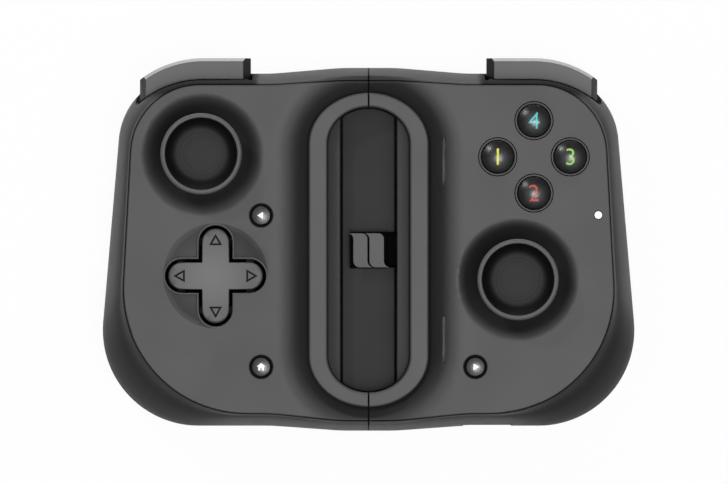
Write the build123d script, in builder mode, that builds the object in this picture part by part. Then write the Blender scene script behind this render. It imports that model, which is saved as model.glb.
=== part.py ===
from build123d import *
from dataclasses import astuple, dataclass
from math import cos, radians, sin, sqrt
import os

# A two-halved gamepad that grips a phone, closed and lying on its back.
# +X is to the player's right, +Y away from the player, +Z out of the front face.
# The two halves meet on the plane X = 0. Distances out from that plane are called "out",
# and side is -1 for the left half and +1 for the right half.

os.makedirs("parts", exist_ok=True)

# Heights above the surface that the closed gamepad lies on
face_z = 32.0
valley_z = 25.5
rim_top_z = 30.5
stick_top_z = 43.3
widest_z = 13.0
centre_back_z = 9.0
trigger_back_z = 5.0
pocket_floor_z = 19.5

# Wall and skin thicknesses
face_skin = 2.0
wall = 2.0
bay_wall = 1.5
seam_gap = 0.4
fit_gap = 0.05
run_gap = 0.3
touch = 0.01

# How far the cutting shapes reach past the part, and how deep holes are drilled in the front
past_seam = 5.0
far_out = 90.0
far_y = 70.0
far_up = 40.0
drill = 4.0

# Where the front valley and the raised middle of the back begin and end, measured out
valley_flat = 8.0
valley_end = 25.0
back_flat = 22.0
back_end = 40.0
top_back_start = 8.0
top_back_end = 28.0


@dataclass
class Outline:
    """Plan outline of one half: the seam is at out = 0."""

    top_seam: float
    top: float
    top_corner: float
    bottom_corner: float
    bottom: float
    bottom_seam: float
    top_radius: float
    bottom_radius: float


face_outline = Outline(42.65, 41.5, 60.6, 65.2, -43.7, -45.6, 18.0, 32.0)
widest_outline = Outline(46.3, 44.8, 63.6, 71.5, -47.2, -48.5, 18.6, 25.0)
seam_flat = 7.0
shoulder = 25.0
shoulder_radius = 60.0
foot_inset = 9.0
roll_steps = (0.4, 0.7, 0.87, 0.96, 0.996)

# How the faceplate sits in the back shell
panel_gap = 0.2
panel_edge = 0.3
lip_drop = 0.2
ledge_depth = 5.0
ledge_width = 1.2

# Oblong rim round the phone's end
rim_y = -1.25
rim_half_width = 15.65
rim_half_length = 40.9
rim_arch = 13.45
rim_width = 4.95
rim_end_width = 3.8
rim_inner_arch = 9.6
rim_edge = 0.6
cradle_out = 13.0

# End pad that the phone's end rests against
pad_face = 7.4
pad_bottom_z = 12.0
pad_top_z = 26.0

# Centre bridge
frame_half_width = 7.1
cover_half_width = 17.1
cover_top = 38.0
cover_bottom = -40.5
cover_radius = 6.0
cover_bottom_z = 8.7
cover_top_z = 10.6
cover_gap = 0.2
frame_wall = 1.6
frame_skin = 2.0
bridge_screw_x = 3.4
bridge_screw_y = 30.0
bridge_screw_radius = 1.0
bridge_head_radius = 1.9
bridge_head_z = 8.9
bridge_seat_z = 10.1
bridge_boss_radius = 2.4
bridge_screw_end_z = 17.0
cover_edge = 0.5
frame_edge = 0.4

# Elastic strap and the bar that holds its end
strap_half_width = 16.0
strap_bottom_z = 14.4
strap_top_z = 16.4
strap_start = 1.0
strap_clear = 0.4
strap_rib_drop = 1.0
anchor_out = 50.5
anchor_thickness = 2.5
anchor_half_length = 19.0
anchor_bottom_z = 13.0
anchor_top_z = 17.6
column_inner_y = 17.2
column_outer_y = 21.4
column_wall = 1.6

# Folded ribbon cable in the window of the pocket floor
window_width = 9.8
window_length = 9.4
window_depth = 3.1
ribbon_thickness = 0.5
ribbon_width = 8.4
ribbon_pitch = 1.0
ribbon_folds = 8
ribbon_bend = 0.3
ribbon_low_z = 17.2
ribbon_high_z = 18.9

# Latches on the rear cover
latch_out = 13.0
latch_y = -27.0
latch_travel = 3.0
latch_stem_width = 1.4
latch_stem_length = 2.4
latch_head_width = 2.0
latch_head_z = 11.7
latch_pad_width = 6.0
latch_pad_length = 9.0
latch_pad_z = 7.2
latch_rib = 1.0
latch_corner = 1.0
latch_edge = 0.4
latch_grooves = 4
latch_groove_pitch = 1.6
latch_groove_width = 0.6
latch_groove_length = 4.0

# Circuit board, on posts
board_z = 18.0
board_thickness = 1.2
board_inset = 4.6
board_start = 14.8
board_top_z = board_z + board_thickness
mat_top_z = board_top_z + 1.2
mat_dome_z = board_top_z + 1.8
mat_lobe_radius = 4.5
mat_ring_margin = 2.6
mat_strip_width = 3.0
mat_dome_radius = 2.4
mat_dome_taper = 20.0
board_tab = (-44.5, -37.5)
board_tab_side = 0.6

# Screws that join the two shells of a half
screw_places = ((22.0, 36.0), (22.0, -39.0), (48.0, -32.0), (56.0, 1.0))
screw_radius = 1.15
screw_hole_radius = 1.35
screw_head_radius = 2.1
screw_head_height = 1.6
screw_seat_z = 11.0
screw_end_z = 25.0
screw_head_gap = 0.4
drive_length = 2.4
drive_width = 0.6
post_radius = 3.4
boss_radius = 2.6

# Thumb stick
stick_radius = 10.5
stick_pivot_z = 23.4
stick_rim = 1.1
stick_rim_drop = 0.15
stick_edge = 0.6
stick_skirt = (1.2, 0.4, 1.5)
stick_neck_flare = 1.0
stick_disc_radius = 5.9
stick_disc_drop = 2.6
stick_disc_step = 0.15
stick_under_z = 38.3
stick_neck_radius = 4.0
dome_radius = 10.0
dome_thickness = 1.0
dome_reach = 80.0
dome_gap = 0.35
crater_radius = 15.1
crater_lip = 1.2
crater_lip_drop = 1.0
crater_floor_reach = 62.0
crater_slope = 0.3
crater_boss_z = 26.0
stick_shaft_radius = 1.3
stick_shaft_below = 2.6
stick_shaft_above = 12.6
stick_shaft_round = 0.4
stick_box = 12.0
stick_box_wall = 1.0
stick_box_floor = 0.4
stick_box_rise = 1.1
yoke_size = 8.6
yoke_hole = 6.0
yoke_height = 3.2
rocker_size = 4.6
rocker_height = 2.4
trunnion_radius = 0.8
trunnion_gap = 0.2
switch_radius = 1.6
switch_height = 0.3
left_stick = (-43.3, 23.6)
right_stick = (38.6, -8.9)

# Direction pad
dpad_centre = (-39.7, -8.0)
dpad_span = 24.5
dpad_arm = 7.0
dpad_gap = 0.9
dpad_collar = 0.45
dpad_rise = 1.0
dpad_bottom_z = 27.0
dpad_edge = 0.7
dpad_hollow = 0.45
dish_radius = 13.7
dish_depth = 1.8
dish_boss_z = 29.2
dpad_pivot_z = 28.5
dpad_ball_radius = 2.0
dpad_post_radius = 1.2
dpad_flange_radius = 9.0
dpad_foot_place = 8.9
dpad_foot_radius = 1.5
dpad_tilt = 4.0
dpad_flange = 1.0
dpad_throat_radius = 2.0

# Push buttons
button_travel = 1.2
button_end_z = mat_dome_z + button_travel + cover_gap
face_button_radius = 4.1
face_button_rise = 1.6
face_button_side = 0.6
face_button_flange = 5.0
face_button_spread = 9.4
face_button_centre = (42.9, 22.9)
small_button_radius = 2.35
small_button_rise = 0.8
small_button_side = 0.55
small_button_flange = 3.0
small_dish_radius = 3.2
small_dish_depth = 0.5
button_stem_radius = 1.9
flange_top_z = 29.5
flange_height = 1.1
back_button_place = (-27.9, 7.7)
home_button_place = (-27.9, -31.6)
menu_button_place = (27.7, -31.6)

# Status light
light_place = (59.6, 7.8)
light_radius = 1.05
light_rise = 0.1
light_foot = 0.6
light_foot_z = 26.0

# Vent slots beside the rim of the right half
vent_out = 19.6
vent_width = 0.7
vent_length = 12.5
vent_places = (21.85, -24.75)

# Shoulder bumper
bumper_inner_y = 43.1
bumper_width = 5.5
bumper_bend = 43.0
bumper_start = 30.7
bumper_end = 59.5
bumper_inner_radius = 26.0
bumper_outer_radius = 27.0
bumper_bottom_z = 17.5
bumper_top_z = 26.6
bumper_gap = 1.2
bumper_end_gap = 0.5
bumper_bevel = 0.8
bumper_start_slope = 1.9
bumper_end_slope = 1.5
bumper_slope_drop = 2.6
bumper_pivot = (33.4, 40.6)
bumper_lug_radius = 2.2
bumper_lug_drop = 0.6
pin_radius = 1.0
pin_cap = 1.4

# Trigger behind the bumper
trigger_start = 32.4
trigger_end = 58.0
trigger_pivot_y = 39.2
trigger_pivot_z = 13.2
trigger_top_z = 15.5
trigger_tip_z = 3.5
trigger_tip_y = (45.4, 47.4)
trigger_front_y = 47.6
trigger_waist = (46.9, 9.6)
trigger_flare = (48.1, 4.4)
trigger_inner_z = 9.5
trigger_arm = (0.5, 1.8)
trigger_inset = 0.5
trigger_finger_y = 42.0
trigger_hub_radius = 2.3
trigger_hub = (36.0, 54.0)
trigger_lug = (33.6, 56.4)
trigger_lug_width = 2.0
trigger_lug_radius = 2.0
trigger_back_y = 36.9
trigger_gap = 0.6
web_thickness = 1.3
bay_start_y = 30.0

# Plug for the phone, and the charging port
plug_width = 8.25
plug_height = 2.4
plug_reach = 6.65
plug_wall = 0.3
plug_root = 9.0
boot_reach = 2.8
boot_margin = 0.5
boot_edge = 0.3
socket_floor = 0.6
plug_z = 23.6
port_out = 30.9
port_width = 8.94
port_height = 3.16
port_depth = 7.3
port_wall = 0.3
port_tongue = (6.7, 0.7)
port_hole_depth = 3.0
port_face_y = -46.3
port_recess_width = 12.5
port_recess_z = (10.5, 24.0)
port_z = board_z - fit_gap - port_height / 2

sides = {"left": -1, "right": 1}
face_buttons = {
    "north_button": (face_button_centre[0], face_button_centre[1] + face_button_spread),
    "east_button": (face_button_centre[0] + face_button_spread, face_button_centre[1]),
    "south_button": (face_button_centre[0], face_button_centre[1] - face_button_spread),
    "west_button": (face_button_centre[0] - face_button_spread, face_button_centre[1]),
}
small_buttons = {
    "left": {"back_button": back_button_place, "home_button": home_button_place},
    "right": {"menu_button": menu_button_place},
}
sticks = {"left": left_stick, "right": right_stick}


# Shapes that several pieces share


def keep(builder, name):
    builder.part.label = name
    export_step(builder.part, f"parts/{name}.step")


def upright(x, y):
    """Plane through the point x, y whose sketch X is +X and whose sketch Y is +Z."""
    return Plane(origin=(x, y, 0), x_dir=(1, 0, 0), z_dir=(0, -1, 0))


def span_box(out_range, y_range, z_range, side=1, mode=Mode.ADD):
    """Box given by its limits, with the first range measured out from the seam."""
    sizes = [high - low for low, high in (out_range, y_range, z_range)]
    middle = [(low + high) / 2 for low, high in (out_range, y_range, z_range)]
    with Locations((side * middle[0], middle[1], middle[2])):
        Box(*sizes, mode=mode)


def disc(x, y, radius, low, high, mode=Mode.ADD):
    with Locations((x, y, (low + high) / 2)):
        Cylinder(radius, high - low, mode=mode)


def plan_outline(outline, side, inset=0.0):
    seam = side * seam_gap / 2
    corners = [
        (0, outline.top_seam - inset),
        (seam_flat, outline.top_seam - inset),
        (shoulder, outline.top - inset),
        (outline.top_corner - inset, outline.top - inset),
        (outline.bottom_corner - inset, outline.bottom + inset),
        (shoulder, outline.bottom + inset),
        (seam_flat, outline.bottom_seam + inset),
        (0, outline.bottom_seam + inset),
    ]
    points = [(seam + side * out, y) for out, y in corners]
    radii = [
        shoulder_radius,
        shoulder_radius,
        outline.top_radius - inset,
        outline.bottom_radius - inset,
        shoulder_radius,
        shoulder_radius,
    ]
    with BuildSketch() as plan:
        with BuildLine():
            FilletPolyline(*points, radius=radii)
            Line(points[-1], points[0])
        make_face()
    return plan.sketch


def roll_share(height):
    """How far in a rolled edge has come at a fraction of its height, as on a quarter round."""
    return 1 - sqrt(1 - height**2)


def rolled_outline(height):
    share = roll_share(height)
    wide, narrow = astuple(widest_outline), astuple(face_outline)
    return Outline(*[w + share * (n - w) for w, n in zip(wide, narrow)])


def half_body(side, inset=0.0, lift=0.0):
    """Smooth body of one half, with its back still flat, drawn in all round by inset."""
    levels = []
    for height in reversed(roll_steps):
        z = widest_z - (widest_z - lift) * height / roll_steps[-1]
        levels.append((z, widest_outline, foot_inset * roll_share(height)))
    levels.append((widest_z, widest_outline, 0.0))
    for height in roll_steps:
        z = widest_z + (face_z - widest_z) * height
        levels.append((z, rolled_outline(height), 0.0))
    with BuildPart() as body:
        for z, outline, drawn_in in levels:
            with BuildSketch(Plane.XY.offset(z)):
                add(plan_outline(outline, side, drawn_in + inset))
        loft()
    return body.part


def above_front(side, drop=0.0):
    """Space in front of the face: flat over the grip, dipping to a valley all round the rim."""
    low, high, far = valley_z - drop, face_z - drop, face_z + far_up
    straight = rim_half_length - rim_half_width
    with BuildSketch() as section:
        with BuildLine():
            Line((0, low), (valley_flat, low))
            Spline((valley_flat, low), (valley_end, high), tangents=((1, 0), (1, 0)))
            Polyline((valley_end, high), (far_out, high), (far_out, far), (0, far), (0, low))
        make_face()
    with BuildPart() as space:
        with BuildSketch(upright(0, rim_y)):
            add(section.sketch)
            mirror(about=Plane.YZ)
        extrude(amount=straight, both=True)
        for end in (1, -1):
            middle = rim_y + end * straight
            with BuildSketch(upright(0, middle)):
                add(section.sketch)
            revolve(axis=Axis((0, middle, 0), (0, 0, end)), revolution_arc=180)
        span_box((-far_out, -past_seam), (-far_y, far_y), (0, far), side, Mode.SUBTRACT)
    return space.part


def behind_back(side, lift=0.0, centre_lift=0.0):
    """Space behind the back, which rises towards the seam and towards the triggers."""
    low, high, far = lift, centre_back_z + lift + centre_lift, -far_up
    trigger_back = trigger_back_z + lift
    with BuildPart() as space:
        with BuildSketch(Plane.XZ):
            with BuildLine():
                Line((-side * past_seam, high), (side * back_flat, high))
                Spline(
                    (side * back_flat, high),
                    (side * back_end, low),
                    tangents=((side, 0), (side, 0)),
                )
                Polyline(
                    (side * back_end, low),
                    (side * back_end, far),
                    (-side * past_seam, far),
                    (-side * past_seam, high),
                )
            make_face()
        extrude(amount=far_y, both=True)
        with BuildSketch(Plane.YZ):
            with BuildLine():
                Spline(
                    (top_back_start, low),
                    (top_back_end, trigger_back),
                    tangents=((1, 0), (1, 0)),
                )
                Polyline(
                    (top_back_end, trigger_back),
                    (far_y, trigger_back),
                    (far_y, far),
                    (top_back_start, far),
                    (top_back_start, low),
                )
            make_face()
        extrude(amount=side * far_out)
    return space.part


def oblong(half_width, half_length, arch):
    """Oblong round the rim's centre, with half-ellipse ends."""
    straight = half_length - arch
    with BuildSketch() as shape:
        with Locations((0, rim_y)):
            Rectangle(2 * half_width, 2 * straight)
        with Locations((0, rim_y + straight), (0, rim_y - straight)):
            Ellipse(half_width, arch)
    return shape.sketch


def rim_inner(inset=0.0):
    return oblong(
        rim_half_width - rim_width - inset,
        rim_half_length - rim_end_width - inset,
        rim_inner_arch - inset,
    )


def keep_strip(side, start, end):
    """Keep only the part of the sketch being built between two distances out."""
    with Locations((side * (start + end) / 2, 0)):
        Rectangle(end - start, 2 * far_y, mode=Mode.INTERSECT)


def bumper_inner(side, margin=0.0):
    """Everything in plan on the player's side of the bumper's inner face."""
    top = bumper_inner_y - margin
    straight, depth = 20.0, 30.0
    with BuildSketch() as region:
        with Locations((side * bumper_bend, bumper_inner_y - bumper_inner_radius)):
            Circle(bumper_inner_radius - margin)
        with Locations((side * (bumper_bend - straight / 2), top - depth / 2)):
            Rectangle(straight, depth)
    return region.sketch


def shoulder_plan(side, start, end, outer_inset=0.0):
    """Plan of a piece on the shoulder, inside the outer curve of bumper and trigger."""
    outer_y = bumper_inner_y + bumper_width - outer_inset
    outer_radius = bumper_outer_radius - outer_inset
    with BuildSketch() as plan:
        with Locations((side * (start + bumper_bend) / 2, (outer_y + bay_start_y) / 2)):
            Rectangle(bumper_bend - start, outer_y - bay_start_y)
        with Locations((side * bumper_bend, outer_y - outer_radius)):
            Circle(outer_radius)
        with Locations((side * (start + end) / 2, bay_start_y + far_up / 2)):
            Rectangle(end - start, far_up, mode=Mode.INTERSECT)
    return plan.sketch


def bay(side, margin=0.0):
    """Open bay for bumper and trigger. With a margin, it is the bay and the wall round it."""
    bumper_low = bumper_bottom_z - run_gap - margin
    bumper_high = bumper_top_z + run_gap + margin
    trigger_high = bumper_bottom_z - run_gap - web_thickness + margin
    bumper_from = bumper_start - bumper_end_gap - margin
    bumper_to = bumper_end + 2 * bumper_end_gap + margin
    trigger_from = trigger_start - trigger_gap - margin
    trigger_to = trigger_end + trigger_gap + margin
    with BuildPart() as space:
        with BuildSketch(Plane.XY.offset(bumper_low)):
            with Locations((side * (bumper_from + bumper_to) / 2, (bay_start_y + far_y) / 2)):
                Rectangle(bumper_to - bumper_from, far_y - bay_start_y)
            add(bumper_inner(side, bumper_gap + margin), mode=Mode.SUBTRACT)
            with Locations((side * bumper_pivot[0], bumper_pivot[1])):
                Circle(bumper_lug_radius + trigger_gap + margin)
        extrude(amount=bumper_high - bumper_low)
        span_box(
            (trigger_from, trigger_to),
            (trigger_back_y - trigger_gap - margin, far_y),
            (-far_up, trigger_high),
            side,
        )
    return space.part


def over_bumper(side):
    """Space above the bumper, where the shell ends level with the bumper's inner face."""
    start, end = bumper_start - bumper_end_gap, bumper_end + bumper_end_gap
    with BuildPart() as space:
        with BuildSketch(Plane.XY.offset(bumper_top_z + run_gap - touch)):
            with Locations((side * (start + end) / 2, (bay_start_y + far_y) / 2)):
                Rectangle(end - start, far_y - bay_start_y)
            add(bumper_inner(side, run_gap), mode=Mode.SUBTRACT)
        extrude(amount=far_up)
    return space.part


def cross(gap=0.0):
    with BuildSketch() as shape:
        SlotOverall(dpad_span + 2 * gap, dpad_arm + 2 * gap)
        SlotOverall(dpad_span + 2 * gap, dpad_arm + 2 * gap, rotation=90)
    return shape.sketch


def crater_section():
    """Half section of the bowl round a stick, from the face down to the hole for the dome."""
    edge = dome_radius + dome_gap
    floor_r = edge * sin(radians(crater_floor_reach))
    floor_z = stick_pivot_z + edge * cos(radians(crater_floor_reach))
    with BuildSketch() as section:
        with BuildLine():
            Spline(
                (crater_radius + crater_lip, face_z),
                (crater_radius - crater_lip, face_z - crater_lip_drop),
                (floor_r, floor_z),
                tangents=((-1, 0), (-1, -crater_slope)),
            )
            Polyline(
                (floor_r, floor_z),
                (0, floor_z),
                (0, face_z + far_up),
                (crater_radius + crater_lip, face_z + far_up),
                (crater_radius + crater_lip, face_z),
            )
        make_face()
    return section.sketch


# Faceplates: the front mouldings


def inner_bosses(side, name):
    """Everything that stands under the skin of a faceplate, up to the middle of the skin."""
    x, y = sticks[name]
    with BuildPart() as bosses:
        for out, y_screw in screw_places:
            disc(side * out, y_screw, boss_radius, board_top_z, face_z)
        disc(x, y, crater_radius + fit_gap, crater_boss_z, face_z)
        if name == "left":
            disc(*dpad_centre, dish_radius, dish_boss_z, face_z)
        add(above_front(side, face_skin / 2), mode=Mode.SUBTRACT)
        add(bay(side, bay_wall + fit_gap), mode=Mode.SUBTRACT)
    return bosses.part


def dpad_opening():
    """Three quarters of a round dish, a collar that follows the cross, and the hole for it."""
    x, y = dpad_centre
    sphere = (dish_radius**2 + dish_depth**2) / (2 * dish_depth)
    with BuildPart() as opening:
        with Locations((*dpad_centre, face_z + sphere - dish_depth)):
            Sphere(sphere)
        flush = (x, x + dish_radius + wall), (y - dish_radius - wall, y)
        span_box(*flush, (dish_boss_z, face_z + wall), mode=Mode.SUBTRACT)
        with BuildSketch(Plane.XY.offset(dish_boss_z)):
            with Locations(dpad_centre):
                add(cross(dpad_gap + dpad_collar))
        extrude(amount=face_z - dish_boss_z, mode=Mode.SUBTRACT)
        with BuildSketch(Plane.XY.offset(dish_boss_z - drill)):
            with Locations(dpad_centre):
                add(cross(dpad_gap))
        extrude(amount=face_z - dish_boss_z + 2 * drill)
    return opening.part


for name, side in sides.items():
    panel = plan_outline(face_outline, side)
    front = above_front(side)
    under = above_front(side, face_skin)
    bosses = inner_bosses(side, name)
    opening = dpad_opening()
    through = (face_z - drill, face_z + drill)
    x, y = sticks[name]
    with BuildPart() as faceplate:
        with BuildSketch(Plane.XY.offset(board_top_z)):
            add(panel)
        extrude(amount=face_z)
        add(front, mode=Mode.SUBTRACT)
        add(under, mode=Mode.INTERSECT)
        face_rim = faceplate.edges().filter_by(
            lambda e: e.center().Z > face_z - touch and abs(e.center().X) > valley_end + wall
        )
        fillet(face_rim, radius=panel_edge)
        add(bosses)
        with BuildSketch(upright(x, y)):
            add(crater_section())
        revolve(axis=Axis((x, y, 0), (0, 0, 1)), mode=Mode.SUBTRACT)
        with Locations((x, y, stick_pivot_z)):
            Sphere(dome_radius + dome_gap, mode=Mode.SUBTRACT)
        with BuildSketch(Plane.XY):
            add(oblong(rim_half_width, rim_half_length, rim_arch))
        extrude(amount=far_up, mode=Mode.SUBTRACT)
        for out, y_screw in screw_places:
            disc(
                side * out, y_screw, screw_radius + fit_gap, 0, screw_end_z + screw_head_gap,
                mode=Mode.SUBTRACT,
            )
        for place in small_buttons[name].values():
            with Locations((*place, face_z)):
                Cone(
                    small_button_radius + run_gap,
                    small_dish_radius,
                    small_dish_depth,
                    align=(Align.CENTER, Align.CENTER, Align.MAX),
                    mode=Mode.SUBTRACT,
                )
            disc(*place, small_button_radius + run_gap, *through, mode=Mode.SUBTRACT)
        if name == "left":
            add(opening, mode=Mode.SUBTRACT)
        else:
            for place in face_buttons.values():
                disc(*place, face_button_radius + run_gap, *through, mode=Mode.SUBTRACT)
            disc(*light_place, light_radius + fit_gap, *through, mode=Mode.SUBTRACT)
            with BuildSketch(Plane.XY):
                with Locations(*[(vent_out, y_vent) for y_vent in vent_places]):
                    SlotOverall(vent_length, vent_width, rotation=90)
            extrude(amount=far_up, mode=Mode.SUBTRACT)
    keep(faceplate, f"{name}_faceplate")


# Back shells: grip, side walls, bay for the shoulder keys, posts for the board


def panel_prism(side, inset):
    with BuildPart() as prism:
        with BuildSketch(Plane.XY):
            add(plan_outline(face_outline, side, inset))
        extrude(amount=far_up)
    return prism.part


def outside_panel(side):
    """Space under the front and outside the ledge that the faceplate rests on."""
    with BuildPart() as space:
        add(above_front(side, ledge_depth))
        add(panel_prism(side, ledge_width), mode=Mode.SUBTRACT)
    return space.part


def panel_pocket(side):
    """Space that the shell leaves free for the faceplate."""
    with BuildPart() as space:
        add(above_front(side, face_skin + fit_gap))
        add(panel_prism(side, -panel_gap), mode=Mode.INTERSECT)
    return space.part


def shell_hollow(side):
    """Inside of a back shell, with the posts and walls that stand in it left out."""
    centre_floor = strap_bottom_z - strap_clear - centre_back_z - wall
    columns = (
        (anchor_out - column_wall, anchor_out + anchor_thickness + column_wall),
        (column_inner_y, column_outer_y),
    )
    ledge = outside_panel(side)
    with BuildPart() as hollow:
        add(half_body(side, wall, wall))
        add(behind_back(side, wall, centre_floor), mode=Mode.SUBTRACT)
        span_box((-past_seam, cradle_out), (-far_y, far_y), (-far_up, far_up), side, Mode.SUBTRACT)
        add(bay(side, bay_wall), mode=Mode.SUBTRACT)
        add(ledge, mode=Mode.SUBTRACT)
        for out, y_screw in screw_places:
            disc(side * out, y_screw, post_radius, -far_up, board_z, mode=Mode.SUBTRACT)
        span_box(columns[0], columns[1], (-far_up, board_z), side, mode=Mode.SUBTRACT)
        lower = (-columns[1][1], -columns[1][0])
        span_box(columns[0], lower, (-far_up, board_z), side, mode=Mode.SUBTRACT)
    return hollow.part


def trigger_lugs(side):
    """Two ears on the back wall of the bay, which hold the trigger's pin."""
    with BuildPart() as lugs:
        for middle in trigger_lug:
            with BuildSketch(Plane.YZ.offset(side * (middle - trigger_lug_width / 2))):
                with Locations((trigger_pivot_y, trigger_pivot_z)):
                    Circle(trigger_lug_radius)
                with Locations((trigger_pivot_y - trigger_lug_radius, trigger_pivot_z)):
                    Rectangle(2 * trigger_lug_radius, 2 * trigger_lug_radius)
                with Locations((trigger_pivot_y, trigger_pivot_z)):
                    Circle(pin_radius + fit_gap, mode=Mode.SUBTRACT)
            extrude(amount=side * trigger_lug_width)
    return lugs.part


def cut_latch_pocket(side):
    """Channel for the latch's head, and the pocket beside it that the head locks into."""
    head = latch_head_width / 2 + run_gap
    reach = latch_stem_length / 2 + run_gap
    notch = rim_half_width - rim_width
    top = latch_head_z + run_gap
    outer = latch_out + head
    span_box((notch - wall, outer), (latch_y - reach, latch_y + reach), (0, top), side, Mode.SUBTRACT)
    span_box(
        (notch + latch_rib, outer),
        (latch_y - reach, latch_y + latch_travel + reach),
        (0, top),
        side,
        Mode.SUBTRACT,
    )


cover_width_all = 2 * (cover_half_width + run_gap)
cover_length_all = cover_top - cover_bottom + 2 * run_gap
cover_middle = (cover_top + cover_bottom) / 2

for name, side in sides.items():
    lugs = trigger_lugs(side)
    pocket = panel_pocket(side)
    with BuildPart() as shell:
        add(half_body(side))
        add(above_front(side, lip_drop), mode=Mode.SUBTRACT)
        add(pocket, mode=Mode.SUBTRACT)
        with BuildSketch(Plane.XY.offset(valley_z - face_skin - fit_gap)):
            add(oblong(rim_half_width, rim_half_length, rim_arch))
        extrude(amount=far_up, mode=Mode.SUBTRACT)
        add(behind_back(side), mode=Mode.SUBTRACT)
        add(shell_hollow(side), mode=Mode.SUBTRACT)
        add(bay(side), mode=Mode.SUBTRACT)
        add(over_bumper(side), mode=Mode.SUBTRACT)
        add(lugs)
        with BuildSketch(Plane.XY):
            add(rim_inner())
        extrude(amount=far_up, mode=Mode.SUBTRACT)
        with BuildSketch(Plane.XY):
            with Locations((0, cover_middle)):
                RectangleRounded(cover_width_all, cover_length_all, cover_radius + run_gap)
        extrude(amount=cover_top_z + cover_gap, mode=Mode.SUBTRACT)
        cut_latch_pocket(side)
        slot_y = strap_half_width + run_gap
        slot_z = (strap_bottom_z - cover_gap, strap_top_z + cover_gap)
        span_box((0, cradle_out + wall), (-slot_y, slot_y), slot_z, side, Mode.SUBTRACT)
        bar_y = anchor_half_length + fit_gap
        bar_out = (anchor_out - fit_gap, anchor_out + anchor_thickness + fit_gap)
        bar_z = (anchor_bottom_z - fit_gap, board_top_z)
        span_box(bar_out, (-bar_y, bar_y), bar_z, side, Mode.SUBTRACT)
        for out, y_screw in screw_places:
            head_hole = screw_head_radius + screw_head_gap
            disc(side * out, y_screw, head_hole, -far_up, screw_seat_z, Mode.SUBTRACT)
            disc(side * out, y_screw, screw_hole_radius, 0, board_top_z, Mode.SUBTRACT)
        disc(
            side * bumper_pivot[0], bumper_pivot[1], pin_radius + fit_gap,
            bumper_bottom_z - 2 * web_thickness, bumper_top_z + pin_cap + 2 * fit_gap,
            Mode.SUBTRACT,
        )
        if name == "right":
            span_box(
                (port_out - port_recess_width / 2, port_out + port_recess_width / 2),
                (-far_y, port_face_y),
                port_recess_z,
                side,
                Mode.SUBTRACT,
            )
            with BuildSketch(upright(port_out, -far_y)):
                with Locations((0, port_z)):
                    SlotOverall(port_width + 2 * fit_gap, port_height + 2 * fit_gap)
            extrude(amount=-(far_y + port_face_y + port_hole_depth), mode=Mode.SUBTRACT)
    keep(shell, f"{name}_back_shell")


# Rim, end pads, boards, silicone mats, screws and strap bars


def board_plan(side):
    with BuildSketch() as plan:
        add(plan_outline(face_outline, side, board_inset))
        keep_strip(side, board_start, far_out)
        if side > 0:
            with Locations((port_out, sum(board_tab) / 2)):
                Rectangle(port_width + 2 * board_tab_side, board_tab[1] - board_tab[0])
    return plan.sketch


def mat_plan(name):
    """Outline of the silicone mat: lobes under the keys, joined by strips."""
    strip = mat_strip_width
    with BuildSketch() as plan:
        with Locations(*small_buttons[name].values()):
            Circle(mat_lobe_radius)
        if name == "left":
            with Locations(dpad_centre):
                Circle(dpad_foot_place + mat_ring_margin)
            middle = (back_button_place[1] + home_button_place[1]) / 2
            with Locations((back_button_place[0], middle)):
                Rectangle(strip, back_button_place[1] - home_button_place[1])
        else:
            with Locations(*face_buttons.values()):
                Circle(mat_lobe_radius)
            with Locations(face_button_centre):
                Circle(face_button_spread)
            (x_menu, y_menu), (x_face, y_face) = menu_button_place, face_button_centre
            with Locations((x_menu, (y_face + y_menu) / 2)):
                Rectangle(strip, y_face - y_menu + strip)
            with Locations(((x_menu + x_face) / 2, y_face)):
                Rectangle(x_face - x_menu + strip, strip)
    return plan.sketch


def mat_domes(name):
    if name == "right":
        return [*face_buttons.values(), menu_button_place]
    x, y = dpad_centre
    r = dpad_foot_place
    around = [(x + r, y), (x - r, y), (x, y + r), (x, y - r)]
    return [*around, back_button_place, home_button_place]


def cross_drive(x, y, z, depth):
    """Cross recess in the underside of a screw head at height z."""
    with Locations((x, y, z)):
        Box(drive_length, drive_width, 2 * depth, mode=Mode.SUBTRACT)
        Box(drive_width, drive_length, 2 * depth, mode=Mode.SUBTRACT)


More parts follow.
